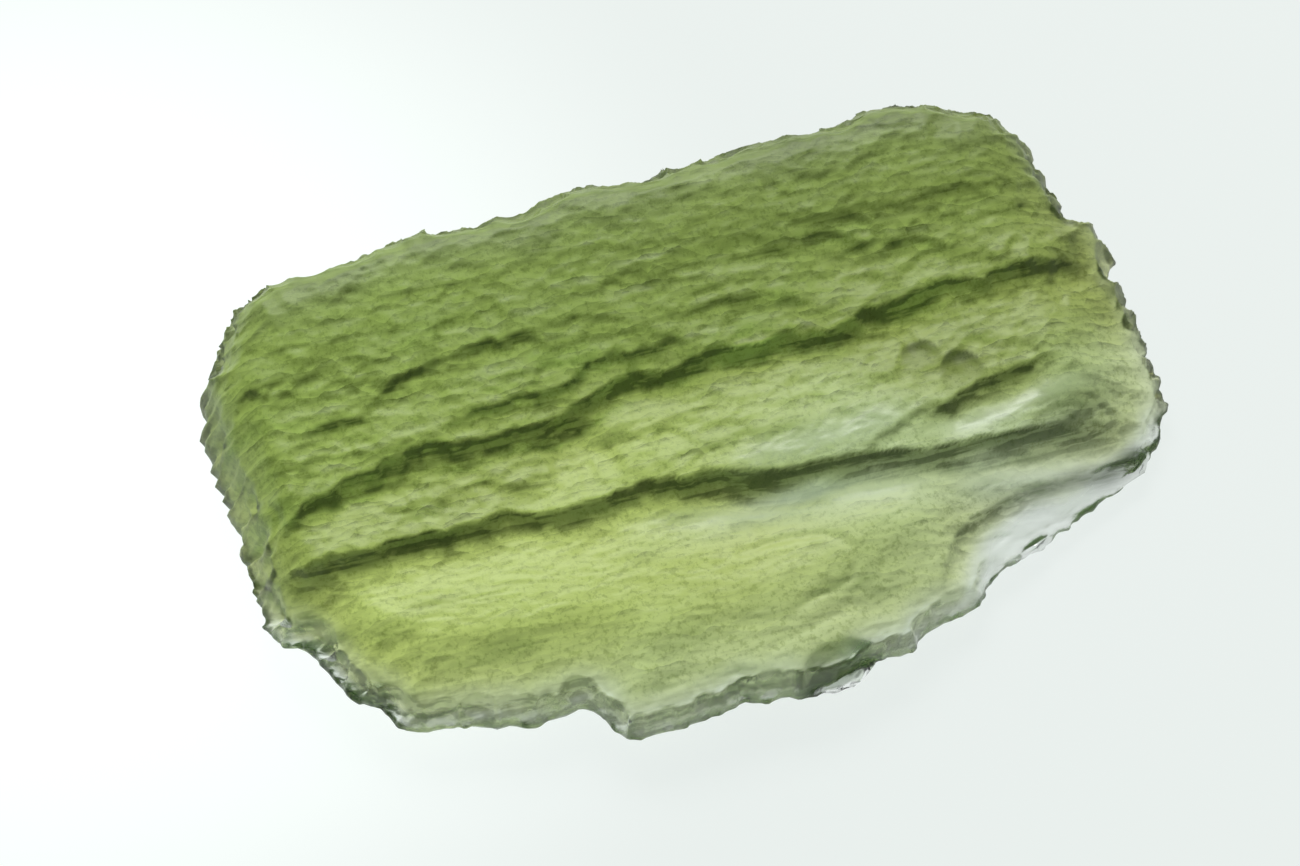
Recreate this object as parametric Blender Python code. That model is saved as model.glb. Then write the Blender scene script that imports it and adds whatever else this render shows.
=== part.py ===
# A natural moldavite: one thin, flat piece of green impact glass, deeply etched by the soil it lay in.
# It lies on its flatter side. Long ledges run across the upper side, the way the melt once flowed, and
# between them the etching has left rows of scoops with sharp crests.
#
# Lengths are in millimetres, and MM turns them into metres when the mesh is made. +Z is up. The origin is
# the middle of the outline's box, on the surface that the stone rests on.

import math

import bpy
import numpy as np

MM = 0.001

# Overall size
LENGTH = 38.3            # along X, the way the melt flowed
WIDTH = 24.5             # along Y

# Mesh: the upper side's cells, even numbers because the underside has half as many each way
CELLS_ALONG = 64
CELLS_ACROSS = 58
RIM_CROWDING = 0.4       # 0 spaces the cells evenly, 1 crowds them most towards the rim

# Thickness before the ledges and scoops are cut
MID_THICKNESS = 4.6
RISE_BACK = 0.145        # for each mm towards +Y
FALL_RIGHT = 0.024       # for each mm towards +X
RIGHT_TAPER = 0.0013     # for each square mm, right of the middle
LEAST_THICKNESS = 0.45

# Outline seen from above, counter-clockwise from the top of the left end
OUTLINE = [
    (-19.2, 5.2), (-19.2, 4.2), (-18.9, 1.1), (-18.7, -3.2), (-18.6, -3.9), (-18.3, -4.5), (-17.1, -5.4),
    (-16.8, -6.1), (-16.4, -6.8), (-16.2, -7.6), (-15.0, -8.4), (-14.3, -9.5), (-11.7, -10.0),
    (-9.1, -10.6), (-7.8, -10.3), (-6.8, -10.7), (-6.4, -11.6), (-6.0, -12.0), (-5.2, -12.2),
    (-2.5, -12.0), (-1.3, -11.8), (1.1, -12.0), (1.8, -12.2), (3.7, -11.9), (4.1, -11.4), (5.9, -11.2),
    (6.8, -10.5), (8.9, -10.0), (10.0, -8.9), (12.2, -8.0), (15.2, -6.6), (16.9, -5.9), (17.6, -5.3),
    (18.7, -3.7), (19.1, -2.7), (19.0, 0.8), (19.0, 1.7), (18.6, 3.1), (18.8, 3.7), (18.5, 5.2),
    (17.6, 6.1), (17.1, 7.7), (16.9, 9.2), (16.1, 10.4), (15.8, 11.0), (14.1, 11.5), (13.2, 12.0),
    (12.1, 12.2), (10.1, 12.2), (8.7, 11.9), (7.2, 11.9), (4.3, 11.7), (2.8, 11.6), (1.6, 11.6),
    (0.5, 11.3), (-0.7, 11.5), (-3.1, 11.5), (-4.8, 10.9), (-5.9, 11.1), (-6.8, 11.0), (-9.2, 11.2),
    (-12.3, 10.5), (-15.7, 10.2), (-17.2, 9.3), (-17.7, 8.6), (-18.3, 7.5), (-19.1, 6.1),
]
# Near left, near right, far right and far left
CORNERS = [(-16.2, -7.6), (18.7, -3.7), (15.8, 11.0), (-17.2, 9.3)]
SPAN_STEPS = 12          # points on the smooth outline between two of those above

# Small chips along the outline: how far they bite, and the shortest distance from one to the next
CHIP_DEPTH = 0.07
CHIP_SPACING = 1.1
CHIP_SEED = 5
WAVES = 7                # sine waves in each wandering line

# Rim, going round from the right end: direction, height of its widest line, share of the height left at the
# rim, how far in the stone starts to taper, reach of the flakes, least share they leave, and breadth of the
# upper and of the lower rounding
RIM = [
    (0, 0.6, 0.34, 4.5, 0.8, 0.20, 0.5, 0.9), (35, 1.5, 0.62, 3.4, 0.8, 0.50, 1.4, 1.3),
    (60, 2.1, 0.78, 3.0, 0.8, 0.75, 2.2, 1.9), (90, 2.2, 0.80, 3.0, 0.8, 0.80, 2.4, 2.1),
    (140, 2.0, 0.74, 3.0, 0.9, 0.65, 2.0, 1.8), (180, 1.0, 0.40, 2.4, 0.9, 0.12, 0.6, 1.0),
    (200, 0.8, 0.38, 2.6, 0.9, 0.05, 0.35, 0.8), (225, 0.6, 0.40, 3.2, 0.8, 0.05, 0.3, 0.6),
    (270, 0.5, 0.66, 4.4, 0.7, 0.05, 0.3, 0.5), (300, 0.5, 0.50, 4.6, 0.7, 0.05, 0.3, 0.6),
    (318, 0.3, 0.14, 4.6, 0.5, 0.10, 0.25, 0.5), (345, 0.4, 0.22, 4.6, 0.7, 0.15, 0.35, 0.7),
]

# Flakes broken off the rim
FLAKE_SPACING = 1.3
FLAKE_STRAY = 0.4            # how far one strays from its place, as a share of the spacing
FLAKE_REACH = (0.8, 1.4)     # smallest and largest, as shares of the reach above
FLAKE_VARIES = 0.4           # how much more of the height the slightest flake leaves than the deepest
FLAKE_SEED = 17

# Ledges of the upper side. Each drops away on its near side and then climbs back slowly.
# Depth of the drop, breadth of its wall, length of the climb back, share of the lobes, and the crest's points
LEDGES = {
    "long": (1.50, 0.90, 4.5, 0.6, [
        (-17.8, -3.0), (-12.8, -3.0), (-7.9, -2.85), (-5.6, -3.15), (-3.0, -2.85), (0.4, -3.3), (2.8, -3.6)]),
    "long_right": (0.95, 0.65, 2.4, 0.12, [
        (-0.4, -3.0), (1.6, -3.45), (4.5, -3.7), (8.4, -3.85), (11.0, -3.8), (13.9, -4.1), (18.0, -4.0)]),
    "long_below": (0.40, 0.36, 2.0, 0.1, [
        (2.6, -4.2), (5.4, -4.2), (8.2, -4.25), (12.4, -4.55), (16.5, -4.6)]),
    "left": (1.40, 0.80, 2.8, 0.8, [
        (-16.9, -1.3), (-14.3, -0.3), (-12.6, 0.2), (-10.7, 0.5), (-8.6, 0.4), (-5.2, 0.4), (-4.2, 0.3)]),
    "middle": (1.55, 0.80, 2.8, 0.5, [
        (-5.3, 0.5), (-4.3, 1.2), (-2.9, 1.6), (1.9, 1.75), (3.7, 1.8),
        (5.9, 1.85), (8.0, 2.2), (10.1, 2.6)]),
    "step": (0.70, 0.50, 2.2, 0.8, [
        (-9.9, 1.0), (-8.3, 1.6), (-6.5, 1.5), (-4.9, 1.6), (-3.9, 2.3), (-2.1, 2.6), (-0.2, 2.4)]),
    "right": (1.55, 1.00, 2.2, 0.5, [
        (9.2, 2.5), (10.8, 2.6), (11.8, 2.6), (12.7, 2.6), (13.4, 2.8), (15.2, 3.0), (17.4, 2.8)]),
    "wedge": (1.65, 1.00, 2.0, 0.4, [
        (9.3, -2.6), (10.4, -2.1), (11.9, -1.5), (13.2, -1.3), (14.4, -1.75), (15.6, -2.5)]),
    "wedge_low": (0.30, 0.30, 1.4, 0.5, [(6.2, -3.3), (7.6, -2.9), (9.6, -2.3), (10.6, -2.7)]),
    "shelf": (0.32, 0.32, 2.0, 1.0, [(-12.3, 2.9), (-10.2, 3.6), (-8.1, 4.0), (-6.0, 4.1), (-4.9, 3.2)]),
    "nook": (0.28, 0.30, 1.6, 1.0, [(-4.7, 3.2), (-2.8, 3.6), (-1.5, 3.3), (-0.4, 2.5)]),
    "arch": (0.45, 0.38, 1.6, 0.5, [(0.6, 3.6), (2.7, 4.0), (4.5, 3.5), (6.0, 2.9)]),
    "brow": (0.40, 0.42, 1.8, 0.7, [(6.6, 4.9), (9.2, 4.9), (11.2, 4.5), (12.8, 3.9)]),
    "back": (0.45, 0.60, 3.0, 0.5, [(6.0, 6.4), (9.4, 6.6), (12.2, 6.3), (15.3, 6.7), (17.6, 7.0)]),
    "back_left": (0.28, 0.40, 2.4, 1.0, [(-17.6, 3.7), (-15.1, 3.8), (-12.7, 3.6), (-9.5, 3.5)]),
    "back_middle": (0.32, 0.45, 2.6, 0.5, [(0.8, 6.2), (4.5, 6.1), (7.0, 5.7), (8.6, 5.1)]),
    "near_left": (0.32, 0.32, 1.6, 0.8, [(-17.3, 0.8), (-15.0, 0.8), (-12.6, 0.9), (-11.0, 1.1)]),
    "spot": (0.40, 0.35, 1.2, 0.5, [(-15.8, 2.1), (-14.4, 2.4), (-12.5, 2.2)]),
    "pillow": (0.14, 0.35, 1.0, 0.8, [
        (-5.1, 0.6), (-4.5, 0.2), (-3.5, -0.4), (-2.5, -0.6), (-1.2, -0.5), (0.2, -0.3)]),
    "shell": (0.26, 0.32, 1.3, 1.0, [
        (-12.7, -1.7), (-11.9, -1.5), (-10.3, -1.5), (-9.2, -1.3), (-7.6, -1.5), (-6.0, -1.4), (-4.0, -1.1)]),
    "right_small": (0.25, 0.35, 1.4, 0.8, [(12.2, 5.2), (14.5, 5.3), (16.6, 5.4), (17.7, 4.4)]),
    "notch_line": (1.10, 0.55, 2.4, 0.4, [
        (7.7, -9.0), (8.3, -8.0), (9.3, -6.85), (11.1, -6.35), (13.2, -5.9), (15.0, -5.8), (17.4, -5.2)]),
}
LEDGE_SEED = 31
CREST_WANDER = 0.14      # how far a crest strays from a smooth line, to and fro
CREST_SPACING = 3.0      # the shortest distance from one stray to the next
LOBE_HEIGHT = 0.30       # the crests are scalloped into lobes
LOBE_WIDTH = 1.4
LOBE_SLANT = 0.25
LOBE_REACH = 0.45        # how far below the crest the lobes die out
LOBE_LEAST = 0.4         # height of the lowest lobe, as a share
LOBE_CHAIN = 50.0        # length after which a chain of lobes or scoops repeats, more than the stone's own
LOBE_WIDTHS = (0.5, 1.6)         # narrowest and widest, as shares, and the weakest and strongest
LOBE_STRENGTHS = (0.15, 1.0)
CREST_ROUNDING = 0.07
END_FADE = 1.6           # a ledge fades in over this at each end, and over more further down its climb
END_SPREAD = 2.0

# Rounded bites: middle, half width, how far the arch reaches back, and depth
BITES = [
    (9.4, -0.9, 1.7, 2.05, 0.95), (10.7, -1.5, 1.2, 1.6, 0.95), (-14.2, 1.5, 1.1, 0.8, 0.40),
    (-3.4, -0.9, 1.7, 0.7, 0.22), (-10.6, -2.0, 1.2, 0.6, 0.20), (-7.4, -2.2, 1.4, 0.6, 0.20),
]
BITE_WALL = 0.85
BITE_CLIMB = 1.4

# Rows of scoops between the ledges, like overlapping shingles: from row to row, width of a scoop, height of
# its arched crest, depth and seed
SCOOPS = [(3.2, 3.8, 0.90, 0.24, 11), (1.35, 1.7, 0.55, 0.20, 12)]
SCOOP_SPAN = (-13.5, 14.0)       # where the rows lie along Y
SCOOP_WALL = 0.16        # breadth of a scoop's wall, length of its climb back, stray of its row and shift of
SCOOP_CLIMB = 0.8        # the whole row, as shares of the distance from row to row
SCOOP_STRAY = 0.25
SCOOP_SHIFT = 0.3
SCOOP_STRAY_SPACING = 5.0
SCOOP_SLANT = 0.4        # the most that a row's scoops lean to the side
ARCH_SEED = 100          # added to a row's own seed, for its arches and for its stray
STRAY_SEED = 200
CALM_Y = (-4.2, -1.4)    # nearer than this the scoops are faint, at the left and at the right
CALM_X = (-2.0, 5.0)
CALM_SHARE = 0.22
CALM_BLEND = 1.6
WORN_Y = (5.0, 8.5)      # between these the scoops wear down to this share
WORN_SHARE = 0.6

# Underside: shallow pits between flat crests that the stone rests on
PITS = [(6.5, 3.2, 0.60, 21), (3.4, 1.7, 0.22, 22)]
PIT_SKEW = 0.35          # how much steeper a pit's far wall is than its near one
PIT_PLACES = (0.1, 0.9)  # where in its cell a pit's middle lies
PIT_LIFT = 0.12          # the most that a pit's bottom lies higher than the deepest
PIT_CREST = (0.4, 1.5)   # how far from the middles the crests lie, and the most that counts as crest
CREST_WEAR = 0.30        # how much is worn off the crests, which leaves them flat

# Flake scars under the rim, each a bite out of a ball: middle, height of its highest point, radius
UNDER_SCARS = [(3.2, -11.6, 0.9, 2.2), (-12.6, -10.9, 0.7, 1.8), (17.9, 4.6, 0.8, 2.4)]


def smooth(low, high, value):
    """0 below low, 1 above high, and an easy S between them."""
    t = np.clip((value - low) / (high - low), 0.0, 1.0)
    return t * t * (3.0 - 2.0 * t)


def spline(points, closed):
    """A smooth curve through the points that does not overshoot where they lie close together."""
    points = np.array(points, float)
    if closed:
        points = np.vstack([points[-1], points, points[:2]])
    else:
        points = np.vstack([2 * points[0] - points[1], points, 2 * points[-1] - points[-2]])
    pieces = []
    for a, b, c, d in zip(points, points[1:], points[2:], points[3:]):
        tb = math.dist(a, b) ** 0.5
        tc = tb + math.dist(b, c) ** 0.5
        td = tc + math.dist(c, d) ** 0.5
        t = np.linspace(tb, tc, SPAN_STEPS, endpoint=False)[:, None]
        ab = a + (b - a) * t / tb
        bc = b + (c - b) * (t - tb) / (tc - tb)
        cd = c + (d - c) * (t - tc) / (td - tc)
        abc = ab + (bc - ab) * t / tc
        bcd = bc + (cd - bc) * (t - tb) / (td - tb)
        pieces.append(abc + (bcd - abc) * (t - tb) / (tc - tb))
    return np.vstack(pieces)


def wander(along, total, spacing, seed):
    """A wave of height about 1 that repeats after total, with no bump closer to the next than spacing."""
    rng = np.random.default_rng(seed)
    most = max(3, int(total / spacing))
    turns = rng.integers(max(1, most // 3), most + 1, size=WAVES)
    shifts = rng.uniform(0.0, 2.0 * math.pi, size=WAVES)
    waves = [np.sin(2.0 * math.pi * n * along / total + s) for n, s in zip(turns, shifts)]
    return np.sum(waves, axis=0) / math.sqrt(len(waves))


def lengths_along(points):
    """Distance walked to each point of a closed outline, and the whole way round."""
    steps = np.linalg.norm(np.roll(points, -1, axis=0) - points, axis=1)
    return np.concatenate([[0.0], np.cumsum(steps)[:-1]]), steps.sum()


def chipped_outline():
    """The outline with small chips bitten in and out of it."""
    curve = spline(OUTLINE, closed=True)
    along, total = lengths_along(curve)
    ahead = np.roll(curve, -1, axis=0) - np.roll(curve, 1, axis=0)
    ahead /= np.linalg.norm(ahead, axis=1)[:, None]
    outward = np.stack([ahead[:, 1], -ahead[:, 0]], axis=1)
    return curve + outward * (CHIP_DEPTH * wander(along, total, CHIP_SPACING, CHIP_SEED))[:, None]


def crowded(cells):
    """Places from 0 to 1, closer together towards both ends."""
    even = np.linspace(0.0, 1.0, cells + 1)
    eased = (1.0 - np.cos(math.pi * even)) / 2.0
    return (1.0 - RIM_CROWDING) * even + RIM_CROWDING * eased


def side(outline, start, end, places):
    """Points on the outline between two corners, at the given shares of the way."""
    first, last = [int(np.argmin(np.hypot(*(outline - corner).T))) for corner in (start, end)]
    run = np.roll(outline, -first, axis=0)[:(last - first) % len(outline) + 1]
    walked = np.concatenate([[0.0], np.cumsum(np.linalg.norm(np.diff(run, axis=0), axis=1))])
    return np.stack([np.interp(places * walked[-1], walked, run[:, k]) for k in (0, 1)], axis=1)


def plan_grid(outline, cells_along, cells_across):
    """A grid of points that fills the outline, stretched between its four sides."""
    near_left, near_right, far_right, far_left = CORNERS
    u, v = crowded(cells_along), crowded(cells_across)
    near = side(outline, near_left, near_right, u)[:, None]
    right = side(outline, near_right, far_right, v)[None]
    far = side(outline, far_right, far_left, u)[::-1][:, None]
    left = side(outline, far_left, near_left, v)[::-1][None]
    u, v = u[:, None, None], v[None, :, None]
    across = near * (1 - v) + far * v
    along = left * (1 - u) + right * u
    corners = (near[:1] * (1 - u) + near[-1:] * u) * (1 - v) + (far[:1] * (1 - u) + far[-1:] * u) * v
    return across + along - corners


def distance_in(x, y, outline):
    """Distance from each point to the outline."""
    edges = np.roll(outline, -1, axis=0) - outline
    reach = np.full(x.shape, np.inf)
    for (sx, sy), (ex, ey) in zip(outline, edges):
        t = np.clip(((x - sx) * ex + (y - sy) * ey) / (ex * ex + ey * ey), 0.0, 1.0)
        reach = np.minimum(reach, (x - sx - t * ex) ** 2 + (y - sy - t * ey) ** 2)
    return np.sqrt(reach)


def cups(x, y, length, breadth, seed):
    """Close-set cups: 0 at the bottom of each one, about 1 on the sharp crests between them."""
    rng = np.random.default_rng(seed)
    columns, rows = int(LENGTH / length) + 5, int(WIDTH / breadth) + 5
    column, row = np.meshgrid(np.arange(columns), np.arange(rows), indexing="ij")
    middle_x = (column - columns / 2 + rng.uniform(*PIT_PLACES, column.shape)) * length
    middle_y = (row - rows / 2 + rng.uniform(*PIT_PLACES, row.shape)) * breadth
    lift = rng.uniform(0.0, PIT_LIFT, row.shape)
    depth = np.full(x.shape, np.inf)
    for cx, cy, up in zip(middle_x.ravel(), middle_y.ravel(), lift.ravel()):
        across = (y - cy) / breadth
        across = across * np.where(across > 0.0, 1.0 + PIT_SKEW, 1.0 - PIT_SKEW)
        depth = np.minimum(depth, ((x - cx) / length) ** 2 + across ** 2 + up)
    return np.minimum(depth / PIT_CREST[0], PIT_CREST[1])


def arches(along, total, width, seed):
    """A chain of arches of uneven width that repeats after total, and the strength of each, from 0 to 1."""
    rng = np.random.default_rng(seed)
    ends = np.concatenate([[0.0], np.cumsum(rng.uniform(*LOBE_WIDTHS, max(3, int(total / width))))])
    ends *= total / ends[-1]
    strengths = rng.uniform(*LOBE_STRENGTHS, len(ends))
    along = along % total
    number = np.clip(np.searchsorted(ends, along), 1, len(ends) - 1)
    t = (along - ends[number - 1]) / (ends[number] - ends[number - 1])
    return 4.0 * t * (1.0 - t), strengths[number]


def step_down(in_front, wall, climb):
    """The shape of every ledge and scoop: nothing behind the crest, a steep wall, then a slow climb back."""
    return (1.0 - np.exp(-in_front / wall)) * np.exp(-in_front / climb)


def ledge_cut(x, y, depth, wall, climb, lobed, crest, seed):
    """How deep one ledge cuts."""
    line = spline(crest, closed=False)
    in_front = np.interp(x, line[:, 0], line[:, 1]) - y
    in_front += CREST_WANDER * wander(x + LENGTH / 2, LENGTH, CREST_SPACING, seed)
    arch, strength = arches(x + LOBE_CHAIN / 2 + LOBE_SLANT * y, LOBE_CHAIN, LOBE_WIDTH, seed)
    lobes = lobed * LOBE_HEIGHT * arch * (LOBE_LEAST + (1.0 - LOBE_LEAST) * strength)
    in_front += lobes * np.exp(-np.maximum(in_front, 0.0) / LOBE_REACH)
    in_front = (in_front + np.hypot(in_front, CREST_ROUNDING)) / 2.0
    run = END_FADE + END_SPREAD * in_front
    fade = smooth(-run / 2.0, run / 2.0, x - line[0, 0]) * smooth(-run / 2.0, run / 2.0, line[-1, 0] - x)
    return depth * fade * step_down(in_front, wall, climb)


def bite(x, y, cx, cy, half_width, back, depth):
    """How deep one rounded bite cuts: a steep arched wall behind, and a slow climb out in front."""
    arch = np.clip(1.0 - ((x - cx) / half_width) ** 2, 0.0, 1.0)
    in_front = cy + back * arch - y
    in_front = (in_front + np.hypot(in_front, CREST_ROUNDING)) / 2.0
    return depth * arch * step_down(in_front, BITE_WALL, BITE_CLIMB)


def scoop_rows(x, y, spacing, width, tall, depth, seed):
    """How deep one size of scoops cuts, row after row."""
    rng = np.random.default_rng(seed)
    places = np.arange(*SCOOP_SPAN, spacing)
    places += rng.uniform(-SCOOP_SHIFT, SCOOP_SHIFT, len(places)) * spacing
    cut = np.zeros(x.shape)
    for row, place in enumerate(places):
        slanted = x + rng.uniform(-SCOOP_SLANT, SCOOP_SLANT) * y
        arch, strength = arches(slanted + LOBE_CHAIN / 2, LOBE_CHAIN, width, seed + ARCH_SEED + row)
        stray = wander(x + LOBE_CHAIN / 2, LOBE_CHAIN, SCOOP_STRAY_SPACING, seed + STRAY_SEED + row)
        in_front = place + spacing * SCOOP_STRAY * stray + tall * arch - y
        in_front = (in_front + np.hypot(in_front, CREST_ROUNDING * spacing)) / 2.0
        cut += strength * np.sqrt(arch) * step_down(in_front, spacing * SCOOP_WALL, spacing * SCOOP_CLIMB)
    return depth * cut


def upper_side(x, y):
    """Height of the upper side, away from the rim."""
    height = MID_THICKNESS + RISE_BACK * y - FALL_RIGHT * x - RIGHT_TAPER * np.maximum(x, 0.0) ** 2
    for number, ledge in enumerate(LEDGES.values()):
        height -= ledge_cut(x, y, *ledge, LEDGE_SEED + number)
    for place in BITES:
        height -= bite(x, y, *place)
    calm_y = CALM_Y[0] + (CALM_Y[1] - CALM_Y[0]) * smooth(*CALM_X, x)
    scooped = CALM_SHARE + (1.0 - CALM_SHARE) * smooth(-CALM_BLEND, CALM_BLEND, y - calm_y)
    scooped *= 1.0 - (1.0 - WORN_SHARE) * smooth(*WORN_Y, y)
    for scoops in SCOOPS:
        height -= scooped * scoop_rows(x, y, *scoops)
    return height


def underside(x, y):
    """Height of the underside, away from the rim: 0 on the flat crests."""
    hollow = np.full(x.shape, -CREST_WEAR)
    for length, breadth, depth, seed in PITS:
        hollow += depth * (1.0 - cups(x, y, length, breadth, seed))
    hollow = np.maximum(hollow, 0.0)
    for cx, cy, roof, ball in UNDER_SCARS:
        hollow = np.maximum(hollow, roof - ((x - cx) ** 2 + (y - cy) ** 2) / (2.0 * ball))
    return hollow


def rim_shape(x, y):
    """What the rim table says round the stone, for each point's direction."""
    direction = np.degrees(np.arctan2(y / WIDTH, x / LENGTH)) % 360.0
    stations = np.array(RIM + [(RIM[0][0] + 360.0, *RIM[0][1:])])
    return [np.interp(direction, stations[:, 0], stations[:, k]) for k in range(1, stations.shape[1])]


def flaked(x, y, outline):
    """Share of the height that is left where flakes broke off the rim, each a shallow bowl."""
    rng = np.random.default_rng(FLAKE_SEED)
    along, total = lengths_along(outline)
    number = int(total / FLAKE_SPACING)
    places = (np.arange(number) + rng.uniform(-FLAKE_STRAY, FLAKE_STRAY, number)) / number * total
    centres = outline[np.searchsorted(along, places % total) % len(outline)]
    reaches, floors = rim_shape(*centres.T)[3:5]
    reaches *= rng.uniform(*FLAKE_REACH, number)
    floors += (1.0 - floors) * rng.uniform(0.0, FLAKE_VARIES, number)
    left = np.ones(x.shape)
    for (cx, cy), reach, floor in zip(centres, reaches, floors):
        near = ((x - cx) ** 2 + (y - cy) ** 2) / reach ** 2
        left = np.minimum(left, floor + (1.0 - floor) * near)
    return left


def rounded(inward, breadth):
    """0 at the rim, 1 once inward of the rounding, upright at the rim itself."""
    return np.sqrt(1.0 - (1.0 - np.clip(inward / breadth, 0.0, 1.0)) ** 2)


def heights(x, y, outline):
    """Heights of the upper side and of the underside, meeting at the rim."""
    inward = distance_in(x, y, outline)
    inward[[0, -1], :] = 0.0
    inward[:, [0, -1]] = 0.0
    widest, kept, taper, _, _, upper_breadth, under_breadth = rim_shape(x, y)
    blunt = rounded(inward, upper_breadth)
    rise = np.maximum(upper_side(x, y) - widest, LEAST_THICKNESS)
    rise *= kept + (1.0 - kept) * smooth(0.0, 1.0, inward / taper)
    upper = widest + np.maximum(rise * flaked(x, y, outline), LEAST_THICKNESS / 2.0) * blunt
    under = widest + (underside(x, y) - widest) * rounded(inward, under_breadth)
    return upper, np.minimum(under, upper - LEAST_THICKNESS * blunt)


def fit_box(points):
    """Stretches and centres the stone so that its box is LENGTH by WIDTH about the origin."""
    low, high = points.min(axis=0), points.max(axis=0)
    points = points - [(low[0] + high[0]) / 2, (low[1] + high[1]) / 2, low[2]]
    return points * [LENGTH / (high[0] - low[0]), WIDTH / (high[1] - low[1]), 1.0]


def edge_walk(number, cells_along, cells_across, i, j):
    """The rim vertices round one cell of the underside, two cells of the upper side wide each way."""
    ring = []
    steps = [(0, 0, 0, 1), (0, 2, 1, 0), (2, 2, 0, -1), (2, 0, -1, 0)]
    for di, dj, mi, mj in steps:
        ring.append(number[i + di, j + dj])
        mid_i, mid_j = i + di + mi, j + dj + mj
        if mid_i in (0, cells_along) or mid_j in (0, cells_across):
            ring.append(number[mid_i, mid_j])
    return ring


def stone_mesh():
    """Vertices and faces of the closed stone: a fine upper grid and a coarser lower one on one rim."""
    outline = chipped_outline()
    plan = plan_grid(outline, CELLS_ALONG, CELLS_ACROSS)
    x, y = plan[..., 0], plan[..., 1]
    upper, under = heights(x, y, outline)
    count = (CELLS_ALONG + 1) * (CELLS_ACROSS + 1)
    top = np.arange(count).reshape(CELLS_ALONG + 1, CELLS_ACROSS + 1)
    points = [np.stack([x, y, upper], axis=-1).reshape(-1, 3)]
    faces = [(top[i, j], top[i + 1, j], top[i + 1, j + 1], top[i, j + 1])
             for i in range(CELLS_ALONG) for j in range(CELLS_ACROSS)]
    bottom = top.copy()
    inner = np.stack([x, y, under], axis=-1)[2:-2:2, 2:-2:2]
    bottom[2:-2:2, 2:-2:2] = count + np.arange(inner.size // 3).reshape(inner.shape[:2])
    points.append(inner.reshape(-1, 3))
    faces += [edge_walk(bottom, CELLS_ALONG, CELLS_ACROSS, i, j)
              for i in range(0, CELLS_ALONG, 2) for j in range(0, CELLS_ACROSS, 2)]
    return fit_box(np.vstack(points)), [tuple(int(n) for n in face) for face in faces]


def glass():
    """Moldavite: bottle-green, see-through, frosted by its etching."""
    material = bpy.data.materials.new("moldavite_glass")
    material.use_nodes = True
    shader = material.node_tree.nodes["Principled BSDF"]
    shader.inputs["Base Color"].default_value = (0.45, 0.60, 0.18, 1.0)
    shader.inputs["Metallic"].default_value = 0.0
    shader.inputs["Roughness"].default_value = 0.25
    shader.inputs["IOR"].default_value = 1.49
    shader.inputs["Transmission Weight"].default_value = 1.0
    material.diffuse_color = (0.45, 0.60, 0.18, 1.0)
    return material


def build():
    for old in list(bpy.data.objects):
        bpy.data.objects.remove(old, do_unlink=True)
    points, faces = stone_mesh()
    mesh = bpy.data.meshes.new("moldavite")
    mesh.from_pydata((points * MM).tolist(), [], faces)
    mesh.validate()
    mesh.shade_smooth()
    mesh.set_sharp_from_angle(angle=math.radians(50.0))
    mesh.materials.append(glass())
    stone = bpy.data.objects.new("moldavite", mesh)
    bpy.context.scene.collection.objects.link(stone)


build()
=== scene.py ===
import math
from functools import partial

import bpy
import numpy as np
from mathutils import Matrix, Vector


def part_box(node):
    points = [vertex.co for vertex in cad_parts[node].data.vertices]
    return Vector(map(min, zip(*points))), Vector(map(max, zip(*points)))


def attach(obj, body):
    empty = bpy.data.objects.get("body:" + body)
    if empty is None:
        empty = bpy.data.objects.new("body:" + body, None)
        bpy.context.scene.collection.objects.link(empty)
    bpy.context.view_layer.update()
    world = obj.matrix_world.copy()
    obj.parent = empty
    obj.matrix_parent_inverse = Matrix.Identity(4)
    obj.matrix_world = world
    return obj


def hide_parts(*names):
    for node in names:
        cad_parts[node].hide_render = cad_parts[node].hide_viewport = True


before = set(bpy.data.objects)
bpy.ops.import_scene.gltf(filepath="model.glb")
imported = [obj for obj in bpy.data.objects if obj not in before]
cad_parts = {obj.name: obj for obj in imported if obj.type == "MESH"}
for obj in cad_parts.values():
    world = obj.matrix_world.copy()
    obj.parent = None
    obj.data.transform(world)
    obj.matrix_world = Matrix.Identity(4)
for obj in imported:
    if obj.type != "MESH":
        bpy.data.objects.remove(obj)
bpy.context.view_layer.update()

# A natural moldavite on a softly lit sheet. The skin is shaped in millimetres with numpy and turned to metres
# when its mesh is made, then a Geometry Nodes tree etches the small scoops into it.
mm = 0.001
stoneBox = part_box("moldavite")

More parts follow.
